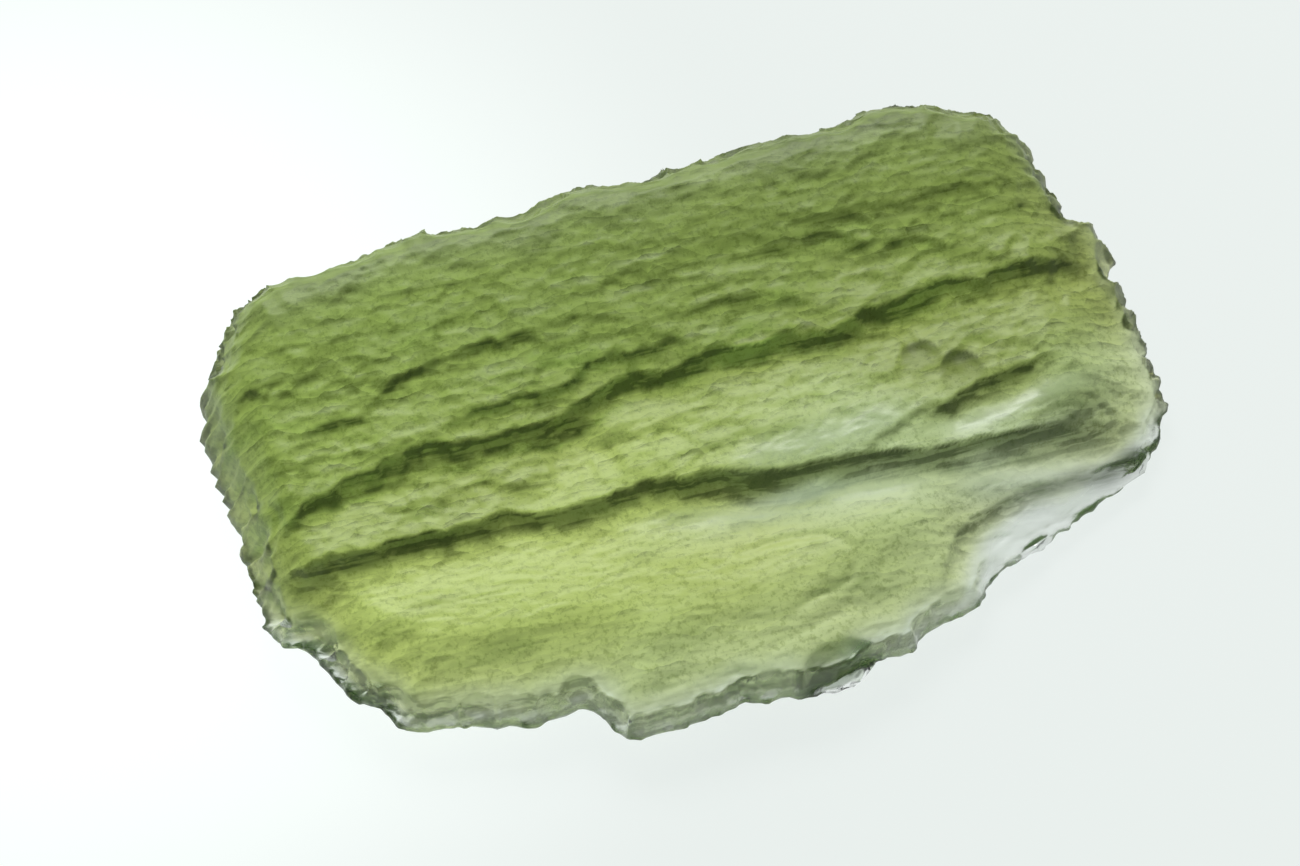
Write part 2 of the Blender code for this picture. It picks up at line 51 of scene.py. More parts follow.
# The solid's own shape, seen from above in mm, counter-clockwise from the top of the left end
stoneShape = {
    "length": 38.3,
    "breadth": 24.5,
    "cellsAlong": 300,
    "cellsAcross": 260,
    "rimCrowding": 0.25,
    "midThickness": 4.6,
    "riseBack": 0.145,
    "fallRight": 0.024,
    "rightTaper": 0.0013,
    "leastThickness": 0.45,
    "outline": [
        (-19.2, 5.2), (-19.2, 4.2), (-18.9, 1.1), (-18.7, -3.2), (-18.6, -3.9), (-18.3, -4.5), (-17.1, -5.4),
        (-16.8, -6.1), (-16.4, -6.8), (-16.2, -7.6), (-15.0, -8.4), (-14.3, -9.5), (-11.7, -10.0),
        (-9.1, -10.6), (-7.8, -10.3), (-6.8, -10.7), (-6.4, -11.6), (-6.0, -12.0), (-5.2, -12.2),
        (-2.5, -12.0), (-1.3, -11.8), (1.1, -12.0), (1.8, -12.2), (3.7, -11.9), (4.1, -11.4), (5.9, -11.2),
        (6.8, -10.5), (8.9, -10.0), (10.0, -8.9), (12.2, -8.0), (15.2, -6.6), (16.9, -5.9), (17.6, -5.3),
        (18.7, -3.7), (19.1, -2.7), (19.0, 0.8), (19.0, 1.7), (18.6, 3.1), (18.8, 3.7), (18.5, 5.2),
        (17.6, 6.1), (17.1, 7.7), (16.9, 9.2), (16.1, 10.4), (15.8, 11.0), (14.1, 11.5), (13.2, 12.0),
        (12.1, 12.2), (10.1, 12.2), (8.7, 11.9), (7.2, 11.9), (4.3, 11.7), (2.8, 11.6), (1.6, 11.6),
        (0.5, 11.3), (-0.7, 11.5), (-3.1, 11.5), (-4.8, 10.9), (-5.9, 11.1), (-6.8, 11.0), (-9.2, 11.2),
        (-12.3, 10.5), (-15.7, 10.2), (-17.2, 9.3), (-17.7, 8.6), (-18.3, 7.5), (-19.1, 6.1),
    ],
    "corners": [(-16.2, -7.6), (18.7, -3.7), (15.8, 11.0), (-17.2, 9.3)],
    "outlinePoints": 1400,
    "keptTurns": 9,  # waves round the outline that the smoothed outline keeps
    "bayPower": 14,  # how quickly the small bays fade towards the middle
    "relaxings": 300,
    "waves": 7,  # summed in each wandering line
    "chips": [(0.07, 1.1, 5), (0.025, 0.45, 6)],  # depth, spacing and seed
    # direction, height of the widest line, share of the height left at the rim and how far in the taper
    # starts, reach of the flakes and least share they leave, breadth of the upper and the lower rounding
    "rim": [
        (0, 0.6, 0.34, 4.5, 0.8, 0.20, 0.5, 0.9), (35, 1.5, 0.62, 3.4, 0.8, 0.70, 1.4, 1.3),
        (60, 2.1, 0.78, 3.0, 0.8, 0.90, 2.2, 1.9), (90, 2.2, 0.80, 3.0, 0.8, 0.94, 2.4, 2.1),
        (140, 2.0, 0.74, 3.0, 0.9, 0.88, 2.0, 1.8), (180, 1.0, 0.40, 2.4, 0.9, 0.12, 0.6, 1.0),
        (200, 0.8, 0.38, 2.6, 0.9, 0.05, 0.35, 0.8), (225, 0.6, 0.40, 3.2, 0.8, 0.05, 0.3, 0.6),
        (270, 0.5, 0.66, 4.4, 0.7, 0.05, 0.3, 0.5), (300, 0.5, 0.50, 4.6, 0.7, 0.05, 0.3, 0.6),
        (318, 0.3, 0.14, 4.6, 0.5, 0.10, 0.25, 0.5), (345, 0.4, 0.22, 4.6, 0.7, 0.15, 0.35, 0.7),
    ],
    "flakeSpacing": 0.62,
    "flakeReach": (0.35, 1.2),  # smallest and largest, as a share of the reach in the rim table
    "flakeVaries": 0.4,
    "flakeStray": 0.4,  # share of the spacing
    "flakeSeed": 17,
    # depth of the drop, breadth of its wall, length of the climb back, share of the lobes, crest
    "ledges": {
        "long": (1.30, 0.44, 4.5, 0.6, [
            (-17.8, -3.0), (-12.8, -3.0), (-7.9, -2.85), (-5.6, -3.15), (-3.0, -2.85), (0.4, -3.3),
            (2.8, -3.6)]),
        "longRight": (1.15, 0.42, 2.4, 0.12, [
            (-0.4, -3.0), (1.6, -3.45), (4.5, -3.7), (8.4, -3.85), (11.0, -3.8), (13.9, -4.1), (18.0, -4.0)]),
        "longBelow": (0.50, 0.28, 2.0, 0.1, [
            (2.6, -4.2), (5.4, -4.2), (8.2, -4.25), (12.4, -4.55), (16.5, -4.6)]),
        "left": (1.15, 0.42, 2.8, 0.8, [
            (-16.9, -1.3), (-14.3, -0.3), (-12.6, 0.2), (-10.7, 0.5), (-8.6, 0.4), (-5.2, 0.4), (-4.2, 0.3)]),
        "middle": (1.25, 0.42, 2.8, 0.5, [
            (-5.3, 0.5), (-4.3, 1.2), (-2.9, 1.6), (1.9, 1.75), (3.7, 1.8), (5.9, 1.85), (8.0, 2.2),
            (10.1, 2.6)]),
        "step": (0.60, 0.34, 2.2, 0.8, [
            (-9.9, 1.0), (-8.3, 1.6), (-6.5, 1.5), (-4.9, 1.6), (-3.9, 2.3), (-2.1, 2.6), (-0.2, 2.4)]),
        "right": (1.05, 0.50, 3.0, 0.5, [
            (9.2, 2.5), (10.8, 2.6), (11.8, 2.6), (12.7, 2.6), (13.4, 2.8), (15.2, 3.0), (17.4, 2.8)]),
        "wedge": (1.25, 0.55, 2.0, 0.4, [
            (9.3, -2.6), (10.4, -2.1), (11.9, -1.5), (13.2, -1.2), (14.4, -1.2)]),
        "wedgeLow": (0.30, 0.24, 1.4, 0.5, [(6.2, -3.3), (7.6, -2.9), (9.6, -2.3), (10.6, -2.7)]),
        "shelf": (0.32, 0.32, 2.0, 1.0, [(-12.3, 2.9), (-10.2, 3.6), (-8.1, 4.0), (-6.0, 4.1), (-4.9, 3.2)]),
        "nook": (0.28, 0.30, 1.6, 1.0, [(-4.7, 3.2), (-2.8, 3.6), (-1.5, 3.3), (-0.4, 2.5)]),
        "arch": (0.45, 0.38, 1.6, 0.5, [(0.6, 3.6), (2.7, 4.0), (4.5, 3.5), (6.0, 2.9)]),
        "brow": (0.40, 0.42, 1.8, 0.7, [(6.6, 4.9), (9.2, 4.9), (11.2, 4.5), (12.8, 3.9)]),
        "back": (0.45, 0.60, 3.0, 0.5, [(6.0, 6.4), (9.4, 6.6), (12.2, 6.3), (15.3, 6.7), (17.6, 7.0)]),
        "backLeft": (0.28, 0.40, 2.4, 1.0, [(-17.6, 3.7), (-15.1, 3.8), (-12.7, 3.6), (-9.5, 3.5)]),
        "backMiddle": (0.32, 0.45, 2.6, 0.5, [(0.8, 6.2), (4.5, 6.1), (7.0, 5.7), (8.6, 5.1)]),
        "nearLeft": (0.32, 0.32, 1.6, 0.8, [(-17.3, 0.8), (-15.0, 0.8), (-12.6, 0.9), (-11.0, 1.1)]),
        "spot": (0.40, 0.35, 1.2, 0.5, [(-15.8, 2.1), (-14.4, 2.4), (-12.5, 2.2)]),
        "pillow": (0.14, 0.35, 1.0, 0.8, [
            (-5.1, 0.6), (-4.5, 0.2), (-3.5, -0.4), (-2.5, -0.6), (-1.2, -0.5), (0.2, -0.3)]),
        "shell": (0.26, 0.32, 1.3, 1.0, [
            (-12.7, -1.7), (-11.9, -1.5), (-10.3, -1.5), (-9.2, -1.3), (-7.6, -1.5), (-6.0, -1.4),
            (-4.0, -1.1)]),
        "rightSmall": (0.25, 0.35, 1.4, 0.8, [(12.2, 5.2), (14.5, 5.3), (16.6, 5.4), (17.7, 4.4)]),
        "notchLine": (1.10, 0.50, 2.4, 0.4, [
            (7.7, -9.0), (8.3, -8.0), (9.3, -6.85), (11.1, -6.35), (13.2, -5.9), (15.0, -5.8), (17.4, -5.2)]),
    },
    # middle, half width, how far its arch reaches back, and depth of the rounded bites
    "bites": [
        (9.3, -0.9, 1.6, 2.05, 0.45), (10.9, -1.5, 1.3, 1.6, 0.45), (-14.2, 1.5, 1.1, 0.8, 0.40),
        (-3.4, -0.9, 1.7, 0.7, 0.22), (-10.6, -2.0, 1.2, 0.6, 0.20), (-7.4, -2.2, 1.4, 0.6, 0.20),
    ],
    "biteWall": 0.85,
    "biteClimb": 1.4,
    "ledgeSeed": 31,
    "crestWander": [(0.14, 3.0, 0), (0.03, 0.8, 40)],  # stray, spacing and added seed
    "crestLobes": [(0.30, 1.4, 0.25, 0), (0.09, 0.55, -0.2, 70)],  # height, width, slant and added seed
    "lobeReach": 0.45,
    "crestRounding": 0.05,
    # depth, half width and course of the fine grooves
    "creases": [
        (0.09, 0.20, [
            (0.2, -6.3), (2.3, -6.1), (3.9, -6.5), (4.6, -7.4), (4.2, -8.3), (2.8, -8.8), (1.4, -9.3)]),
        (0.08, 0.20, [(0.4, -10.4), (2.3, -9.9), (4.3, -9.3)]),
        (0.15, 0.14, [(-17.9, -1.6), (-17.4, -1.2), (-17.2, -0.5), (-17.6, 0.1)]),
    ],
    "endFade": 1.6,  # over which a ledge dies out, and what each mm in front adds
    "endSpread": 2.0,
    # rows of scoops: spacing, width, height of the arched crest, depth, seed
    "shingles": [(3.2, 3.8, 0.9, 0.20, 11), (1.35, 1.7, 0.55, 0.20, 12), (0.7, 0.9, 0.25, 0.10, 13)],
    "shingleRows": (-13.5, 14.0),  # from the near side to the far side
    # shares of the spacing: breadth of the wall, length of the climb, uneven spacing, stray, rounding
    "shingleWall": 0.16,
    "shingleClimb": 0.8,
    "shingleUneven": 0.3,
    "shingleStray": 0.25,
    "shingleRounding": 0.03,
    "shingleSlant": 0.4,  # most that the arches of a row lean to either side
    "strayLength": 5.0,
    "rowSeeds": (100, 200),  # added for the arches and for the stray of each row
    "archRun": 50.0,  # a chain of arches repeats after this length
    "archWidths": (0.5, 1.6),
    "archStrengths": (0.15, 1.0),
    "leastLobe": 0.4,
    # the skin is deeply fretted beyond this line
    "etchBorder": [
        (-19.0, -3.4), (-8.5, -3.0), (-5.5, -0.3), (-3.0, 0.9), (6.0, 1.1), (8.5, -0.8), (12.0, -1.8),
        (19.0, -3.4),
    ],
    "etchBlend": 1.0,
    # painted shade in dark fibrous strokes: strength, half width at either end, and course
    "strokeShade": [
        (1.0, (0.14, 0.58), [
            (9.6, -6.6), (11.5, -6.0), (13.1, -5.75), (14.6, -5.6), (15.7, -5.6), (17.2, -4.9)]),
    ],
    # shade in the rounded bites: strength, middle, half width, height of the arch, how far it reaches
    "caps": [(1.5, 9.45, 0.15, 0.85, 0.80, 0.65), (1.7, 10.85, -1.0, 0.95, 1.05, 0.8)],
    "capEdge": (-0.1, 0.2),
    "calmY": (-4.2, -1.4),  # beyond this the scoops are deep, at the left and at the right
    "calmX": (-2.0, 5.0),
    "calmShare": 0.22,
    "calmBlend": 1.6,
    "wornFar": (5.0, 8.5, 0.6),  # the scoops fade between these to this share
    "pits": [(6.5, 3.2, 0.42, 21), (3.4, 1.7, 0.15, 22)],  # length, breadth, depth, seed
    "pitSkew": 0.5,
    "pitStray": (0.1, 0.9),
    "pitLift": 0.12,
    "pitReach": 0.4,
    "pitCrest": 1.5,
    "crestWear": 0.20,  # taken off the crests of the underside, which the stone rests on
    "clearReach": (0.35, 1.5),
    "thinClear": (0.6, 1.4),
    "paleX": (-2.0, 12.0),
    "paleNear": (-6.5, -10.5),
    "paleNearShare": 0.9,
    "paleEnd": (11.0, 18.0),
    "paleEndY": (1.8, -1.0),
    "scallopReach": (0.5, 1.6),  # the painted shade of the finest scallops fades towards the rim
    "scallopEase": 0.5,
    "clearFar": 0.25,  # what is left of the clear rim at the etched far side
    # middle, half length, half breadth and rise for each mm, of the places that kept their gloss, which also
    # get painted sheen
    "glossy": [
        (3.4, -4.50, 5.8, 0.42, -0.055), (4.6, -2.5, 3.6, 0.60, 0.08), (12.6, -2.7, 3.2, 0.45, 0.13),
        (13.0, -5.1, 3.8, 0.55, -0.03), (12.4, -7.4, 3.4, 1.10, 0.36),
    ],
    # middle, height and radius of the flake scars under the rim
    "underScars": [(3.2, -11.6, 0.9, 2.2), (-12.6, -10.9, 0.7, 1.8), (17.9, 4.6, 0.8, 2.4)],
}


def smoothStep(low, high, value):
    t = np.clip((value - low) / (high - low), 0.0, 1.0)
    return t * t * (3.0 - 2.0 * t)


# A smooth curve through the points that does not overshoot where they lie close together
def throughPoints(points, closed, steps=12):
    points = np.array(points, float)
    if closed:
        points = np.vstack([points[-1], points, points[:2]])
    else:
        points = np.vstack([2 * points[0] - points[1], points, 2 * points[-1] - points[-2]])
    pieces = []
    for a, b, c, d in zip(points, points[1:], points[2:], points[3:]):
        tb = math.dist(a, b) ** 0.5
        tc = tb + math.dist(b, c) ** 0.5
        td = tc + math.dist(c, d) ** 0.5
        t = np.linspace(tb, tc, steps, endpoint=False)[:, None]
        ab = a + (b - a) * t / tb
        bc = b + (c - b) * (t - tb) / (tc - tb)
        cd = c + (d - c) * (t - tc) / (td - tc)
        abc = ab + (bc - ab) * t / tc
        bcd = bc + (cd - bc) * (t - tb) / (td - tb)
        pieces.append(abc + (bcd - abc) * (t - tb) / (tc - tb))
    return np.vstack(pieces)


# A wandering line of height about 1 that repeats after total
def wander(along, total, spacing, seed, shape):
    rng = np.random.default_rng(seed)
    most = max(3, int(total / spacing))
    turns = rng.integers(max(1, most // 3), most + 1, size=shape["waves"])
    shifts = rng.uniform(0.0, 2.0 * math.pi, size=shape["waves"])
    waves = [np.sin(2.0 * math.pi * n * along / total + s) for n, s in zip(turns, shifts)]
    return np.sum(waves, axis=0) / math.sqrt(len(waves))


def chippedOutline(shape):
    curve = throughPoints(shape["outline"], True)
    steps = np.linalg.norm(np.roll(curve, -1, axis=0) - curve, axis=1)
    total = steps.sum()
    even = np.arange(0.0, total, total / shape["outlinePoints"])
    walked = np.concatenate([[0.0], np.cumsum(steps)])
    loop = np.vstack([curve, curve[:1]])
    curve = np.stack([np.interp(even, walked, loop[:, k]) for k in (0, 1)], axis=1)
    ahead = np.roll(curve, -1, axis=0) - np.roll(curve, 1, axis=0)
    ahead /= np.linalg.norm(ahead, axis=1)[:, None]
    outward = np.stack([ahead[:, 1], -ahead[:, 0]], axis=1)
    for depth, spacing, seed in shape["chips"]:
        curve = curve + outward * depth * wander(even, total, spacing, seed, shape)[:, None]
    return curve


# Places from 0 to 1 that stand closer together at both ends
def crowded(cells, crowding):
    even = np.linspace(0.0, 1.0, cells + 1)
    return (1.0 - crowding) * even + crowding * (1.0 - np.cos(math.pi * even)) / 2.0


# One side of the outline and of its smoothed copy, from one corner to the next
def outlineSide(outline, smoothed, start, end, places):
    first, last = [int(np.argmin(np.hypot(*(outline - corner).T))) for corner in (start, end)]
    count = (last - first) % len(outline) + 1
    run = np.roll(outline, -first, axis=0)[:count]
    smooth = np.roll(smoothed, -first, axis=0)[:count]
    walked = np.concatenate([[0.0], np.cumsum(np.linalg.norm(np.diff(run, axis=0), axis=1))])
    fine = np.stack([np.interp(places * walked[-1], walked, run[:, k]) for k in (0, 1)], axis=1)
    base = np.stack([np.interp(places * walked[-1], walked, smooth[:, k]) for k in (0, 1)], axis=1)
    return np.stack([base, fine - base])


# A grid stretched between four sides; with a high power each side counts only close to it
def stretched(near, right, far, left, u, v, power):
    near, far, left, right = near[:, None], far[::-1][:, None], left[::-1][None], right[None]
    u, v = u[:, None, None], v[None, :, None]
    nearBy, farBy, leftBy, rightBy = (1 - v) ** power, v ** power, (1 - u) ** power, u ** power
    corners = (near[:1] * leftBy + near[-1:] * rightBy) * nearBy
    corners = corners + (far[:1] * leftBy + far[-1:] * rightBy) * farBy
    return near * nearBy + far * farBy + left * leftBy + right * rightBy - corners


# A grid that fills the outline: stretched between its smoothed sides, with the small bays kept near the rim
def planGrid(shape, outline):
    turns = np.fft.fftfreq(len(outline), 1.0 / len(outline))
    kept = np.exp(-0.5 * (turns / shape["keptTurns"]) ** 2)[:, None]
    smoothed = np.fft.ifft(np.fft.fft(outline, axis=0) * kept, axis=0).real
    u = crowded(shape["cellsAlong"], shape["rimCrowding"])
    v = crowded(shape["cellsAcross"], shape["rimCrowding"])
    corners = shape["corners"]
    ends = zip(corners, corners[1:] + corners[:1], (u, v, u, v))
    bases, bays = zip(*[outlineSide(outline, smoothed, start, end, places) for start, end, places in ends])
    plan = stretched(*bases, u, v, 1) + stretched(*bays, u, v, shape["bayPower"])
    # even out the cells, with the rim held
    for _ in range(shape["relaxings"]):
        stepU = (plan[2:, 1:-1] - plan[:-2, 1:-1]) / 2.0
        stepV = (plan[1:-1, 2:] - plan[1:-1, :-2]) / 2.0
        wideU = (stepU ** 2).sum(-1, keepdims=True)
        wideV = (stepV ** 2).sum(-1, keepdims=True)
        lean = (stepU * stepV).sum(-1, keepdims=True)
        twist = (plan[2:, 2:] - plan[2:, :-2] - plan[:-2, 2:] + plan[:-2, :-2]) / 4.0
        pulled = wideV * (plan[2:, 1:-1] + plan[:-2, 1:-1]) + wideU * (plan[1:-1, 2:] + plan[1:-1, :-2])
        plan[1:-1, 1:-1] = (pulled - 2.0 * lean * twist) / (2.0 * (wideU + wideV))
    return plan


# Square of the distance to a chain of straight edges
def reachTo(x, y, starts, edges):
    reach = np.full(x.shape, np.inf)
    for (sx, sy), (ex, ey) in zip(starts, edges):
        t = np.clip(((x - sx) * ex + (y - sy) * ey) / (ex * ex + ey * ey), 0.0, 1.0)
        reach = np.minimum(reach, (x - sx - t * ex) ** 2 + (y - sy - t * ey) ** 2)
    return reach


# How far each point lies in from the rim, for which every second point of the outline will do
def distanceIn(x, y, outline):
    edges = np.roll(outline, -1, axis=0) - outline
    return np.sqrt(reachTo(x, y, outline[::2], edges[::2] + edges[1::2]))


# Close-set pits: 0 at the bottom of each, about 1 on the sharp crests between them
def pitted(x, y, length, breadth, seed, shape):
    rng = np.random.default_rng(seed)
    margin = 5
    columns = int(shape["length"] / length) + margin
    rows = int(shape["breadth"] / breadth) + margin
    column, row = np.meshgrid(np.arange(columns), np.arange(rows), indexing="ij")
    middleX = (column - columns / 2 + rng.uniform(*shape["pitStray"], column.shape)) * length
    middleY = (row - rows / 2 + rng.uniform(*shape["pitStray"], row.shape)) * breadth
    lift = rng.uniform(0.0, shape["pitLift"], row.shape)
    skew = shape["pitSkew"]
    depth = np.full(x.shape, np.inf)
    for cx, cy, up in zip(middleX.ravel(), middleY.ravel(), lift.ravel()):
        across = (y - cy) / breadth
        across = across * np.where(across > 0.0, 1.0 + skew, 1.0 - skew)
        depth = np.minimum(depth, ((x - cx) / length) ** 2 + across ** 2 + up)
    return np.minimum(depth / shape["pitReach"], shape["pitCrest"])


# Rows of half cups like overlapping shingles: each is cut steeply below its arched crest and climbs back
def shingles(x, y, spacing, width, tall, depth, seed, shape):
    rng = np.random.default_rng(seed)
    run = shape["archRun"]
    archSeed, straySeed = [seed + added for added in shape["rowSeeds"]]
    places = np.arange(*shape["shingleRows"], spacing)
    places += rng.uniform(-1.0, 1.0, len(places)) * shape["shingleUneven"] * spacing
    cut = np.zeros(x.shape)
    for row, place in enumerate(places):
        slanted = x + rng.uniform(-1.0, 1.0) * shape["shingleSlant"] * y
        arch, strength = archesWithStrength(slanted + run / 2.0, width, archSeed + row, shape)
        stray = wander(x + run / 2.0, run, shape["strayLength"], straySeed + row, shape)
        inFront = place + spacing * shape["shingleStray"] * stray + tall * arch - y
        inFront = eased(inFront, shape["shingleRounding"] * spacing)
        wall, climb = spacing * shape["shingleWall"], spacing * shape["shingleClimb"]
        cut += strength * np.sqrt(arch) * dropAndClimb(inFront, wall, climb)
    return depth * cut


# A chain of arches of uneven width: 0 where two meet, up to 1 in the middle of each
def archesWithStrength(along, width, seed, shape):
    rng = np.random.default_rng(seed)
    run = shape["archRun"]
    count = max(3, int(run / width))
    ends = np.concatenate([[0.0], np.cumsum(rng.uniform(*shape["archWidths"], count))])
    ends *= run / ends[-1]
    strengths = rng.uniform(*shape["archStrengths"], len(ends))
    along = along % run
    number = np.clip(np.searchsorted(ends, along), 1, len(ends) - 1)
    t = (along - ends[number - 1]) / (ends[number] - ends[number - 1])
    return 4.0 * t * (1.0 - t), strengths[number]


# Positive and never quite 0, with the corner at 0 rounded off
def eased(inFront, rounding):
    return (inFront + np.hypot(inFront, rounding)) / 2.0


# The cut in front of a crest: a steep wall, then a slow climb back
def dropAndClimb(inFront, wall, climb):
    return (1.0 - np.exp(-inFront / wall)) * np.exp(-inFront / climb)


def ledgeCut(x, y, shape, depth, wall, climb, lobed, crest, seed):
    line = throughPoints(crest, False)
    inFront = np.interp(x, line[:, 0], line[:, 1]) - y
    for stray, spacing, added in shape["crestWander"]:
        inFront += stray * wander(x + shape["length"] / 2.0, shape["length"], spacing, seed + added, shape)
    lobes = np.zeros(x.shape)
    for tall, width, slant, added in shape["crestLobes"]:
        along = x + shape["archRun"] / 2.0 + slant * y
        arch, strength = archesWithStrength(along, width, seed + added, shape)
        lobes += lobed * tall * arch * (shape["leastLobe"] + (1.0 - shape["leastLobe"]) * strength)
    inFront += lobes * np.exp(-np.maximum(inFront, 0.0) / shape["lobeReach"])
    inFront = eased(inFront, shape["crestRounding"])
    half = (shape["endFade"] + shape["endSpread"] * inFront) / 2.0
    fade = smoothStep(-half, half, x - line[0, 0]) * smoothStep(-half, half, line[-1, 0] - x)
    return depth * fade * dropAndClimb(inFront, wall, climb)


# One rounded bite: a steep arched wall behind, and a slow climb out in front
def bite(x, y, cx, cy, halfWidth, back, depth, shape):
    arch = np.clip(1.0 - ((x - cx) / halfWidth) ** 2, 0.0, 1.0) ** 2
    inFront = eased(cy + back * arch - y, shape["crestRounding"])
    return depth * arch * dropAndClimb(inFront, shape["biteWall"], shape["biteClimb"])


# A rounded groove along a course
def crease(x, y, depth, halfWidth, course):
    line = throughPoints(course, False, steps=6)
    return depth * np.exp(-reachTo(x, y, line, np.diff(line, axis=0)) / halfWidth ** 2)


# How deep the scoops are: less in the calm near half and on the worn far side
def scoopedShare(x, y, shape):
    calmY = shape["calmY"][0] + (shape["calmY"][1] - shape["calmY"][0]) * smoothStep(*shape["calmX"], x)
    share, blend = shape["calmShare"], shape["calmBlend"]
    farFrom, farTo, farShare = shape["wornFar"]
    scooped = share + (1.0 - share) * smoothStep(-blend, blend, y - calmY)
    return scooped * (1.0 - (1.0 - farShare) * smoothStep(farFrom, farTo, y))


# One dark fibrous stroke of painted shade, wider towards its right end
def strokeShade(x, y, strength, halfWidths, course):
    share = smoothStep(course[0][0], course[-1][0], x)
    return crease(x, y, strength, halfWidths[0] + (halfWidths[1] - halfWidths[0]) * share, course)


# A dark cap of painted shade: sharp along its rounded far edge and fading towards the near side
def cap(x, y, strength, cx, cy, halfWidth, back, reach, shape):
    arch = np.sqrt(np.clip(1.0 - ((x - cx) / halfWidth) ** 2, 0.0, 1.0))
    inFront = cy + back * arch - y
    shade = smoothStep(*shape["capEdge"], inFront) * np.exp(-np.maximum(inFront, 0.0) / reach)
    return strength * arch * shade


def upperSide(x, y, shape):
    height = shape["midThickness"] + shape["riseBack"] * y - shape["fallRight"] * x
    height -= shape["rightTaper"] * np.maximum(x, 0.0) ** 2
    for number, ledge in enumerate(shape["ledges"].values()):
        height -= ledgeCut(x, y, shape, *ledge, shape["ledgeSeed"] + number)
    for place in shape["bites"]:
        height -= bite(x, y, *place, shape)
    scooped = scoopedShare(x, y, shape)
    for spacing, width, tall, depth, seed in shape["shingles"]:
        height -= scooped * shingles(x, y, spacing, width, tall, depth, seed, shape)
    for depth, halfWidth, course in shape["creases"]:
        height -= crease(x, y, depth, halfWidth, course)
    return height


def underSide(x, y, shape):
    hollow = np.full(x.shape, -shape["crestWear"])
    for length, breadth, depth, seed in shape["pits"]:
        hollow += depth * (1.0 - pitted(x, y, length, breadth, seed, shape))
    hollow = np.maximum(hollow, 0.0)
    for cx, cy, roof, radius in shape["underScars"]:
        hollow = np.maximum(hollow, roof - ((x - cx) ** 2 + (y - cy) ** 2) / (2.0 * radius))
    return hollow


# What the rim table says round the stone, at each of the points
def rimShape(x, y, shape):
    direction = np.degrees(np.arctan2(y / shape["breadth"], x / shape["length"])) % 360.0
    start, *rest = shape["rim"][0]
    stations = np.array(shape["rim"] + [(start + 360.0, *rest)])
    return [np.interp(direction, stations[:, 0], stations[:, k]) for k in range(1, stations.shape[1])]


# Share of the height that is left where flakes broke off the rim: each is a shallow bowl open to the outside
def flaked(x, y, outline, shape):
    rng = np.random.default_rng(shape["flakeSeed"])
    total = np.linalg.norm(np.roll(outline, -1, axis=0) - outline, axis=1).sum()
    number = int(total / shape["flakeSpacing"])
    stray = rng.uniform(-shape["flakeStray"], shape["flakeStray"], number)
    places = (np.arange(number) + stray) / number * len(outline)
    centres = outline[places.astype(int) % len(outline)]
    reaches, floors = rimShape(*centres.T, shape)[3:5]
    reaches *= rng.uniform(*shape["flakeReach"], number)
    floors += (1.0 - floors) * rng.uniform(0.0, shape["flakeVaries"], number)
    left = np.ones(x.shape)
    for (cx, cy), reach, floor in zip(centres, reaches, floors):
        near = ((x - cx) ** 2 + (y - cy) ** 2) / reach ** 2
        left = np.minimum(left, floor + (1.0 - floor) * near)
    return left


# The profile of a rounded rim: 0 at the rim, 1 from breadth inwards
def rounded(inward, breadth):
    return np.sqrt(1.0 - (1.0 - np.clip(inward / breadth, 0.0, 1.0)) ** 2)


# Upper and lower grid on one shared rim, with how far each point lies in from the rim
def stoneSkin(shape):
    outline = chippedOutline(shape)
    plan = planGrid(shape, outline)
    x, y = plan[..., 0], plan[..., 1]
    inward = distanceIn(x, y, outline)
    inward[[0, -1], :] = 0.0
    inward[:, [0, -1]] = 0.0
    widest, kept, taper, _, _, upperBreadth, underBreadth = rimShape(x, y, shape)
    hollow = underSide(x, y, shape)
    least = shape["leastThickness"]
    blunt = rounded(inward, upperBreadth)
    rise = np.maximum(upperSide(x, y, shape) - widest, least)
    rise *= kept + (1.0 - kept) * smoothStep(0.0, 1.0, inward / taper)
    upper = widest + np.maximum(rise * flaked(x, y, outline, shape), least / 2.0) * blunt
    under = widest + (hollow - widest) * rounded(inward, underBreadth)
    under = np.minimum(under, upper - least * blunt)
    return x, y, upper, under, inward


# The places that kept their gloss and get painted sheen, blunt at the ends and soft at the sides
def glossy(x, y, shape):
    gloss = np.zeros(x.shape)
    for cx, cy, halfLength, halfBreadth, rise in shape["glossy"]:
        aside = (y - cy - rise * (x - cx)) / halfBreadth
        gloss = np.maximum(gloss, np.exp(-((x - cx) / halfLength) ** 4 - aside ** 2))
    return gloss


# The calm half is paler towards the right and towards the near rim, and so is the thin end
def paleShare(x, y, etch, shape):
    side = smoothStep(*shape["paleX"], x) * (1.0 - etch)
    near = shape["paleNearShare"] * smoothStep(*shape["paleNear"], y) * (1.0 - etch)
    end = smoothStep(*shape["paleEnd"], x) * smoothStep(*shape["paleEndY"], y)
    return np.maximum(1.0 - (1.0 - side) * (1.0 - near), end)


# The vertices round one cell of the underside, two cells of the upper side wide each way
def cellRing(number, along, across, i, j):
    ring = []
    for di, dj, mi, mj in ((0, 0, 0, 1), (0, 2, 1, 0), (2, 2, 0, -1), (2, 0, -1, 0)):
        ring.append(number[i + di, j + dj])
        midI, midJ = i + di + mi, j + dj + mj
        if midI in (0, along) or midJ in (0, across):
            ring.append(number[midI, midJ])
    return ring


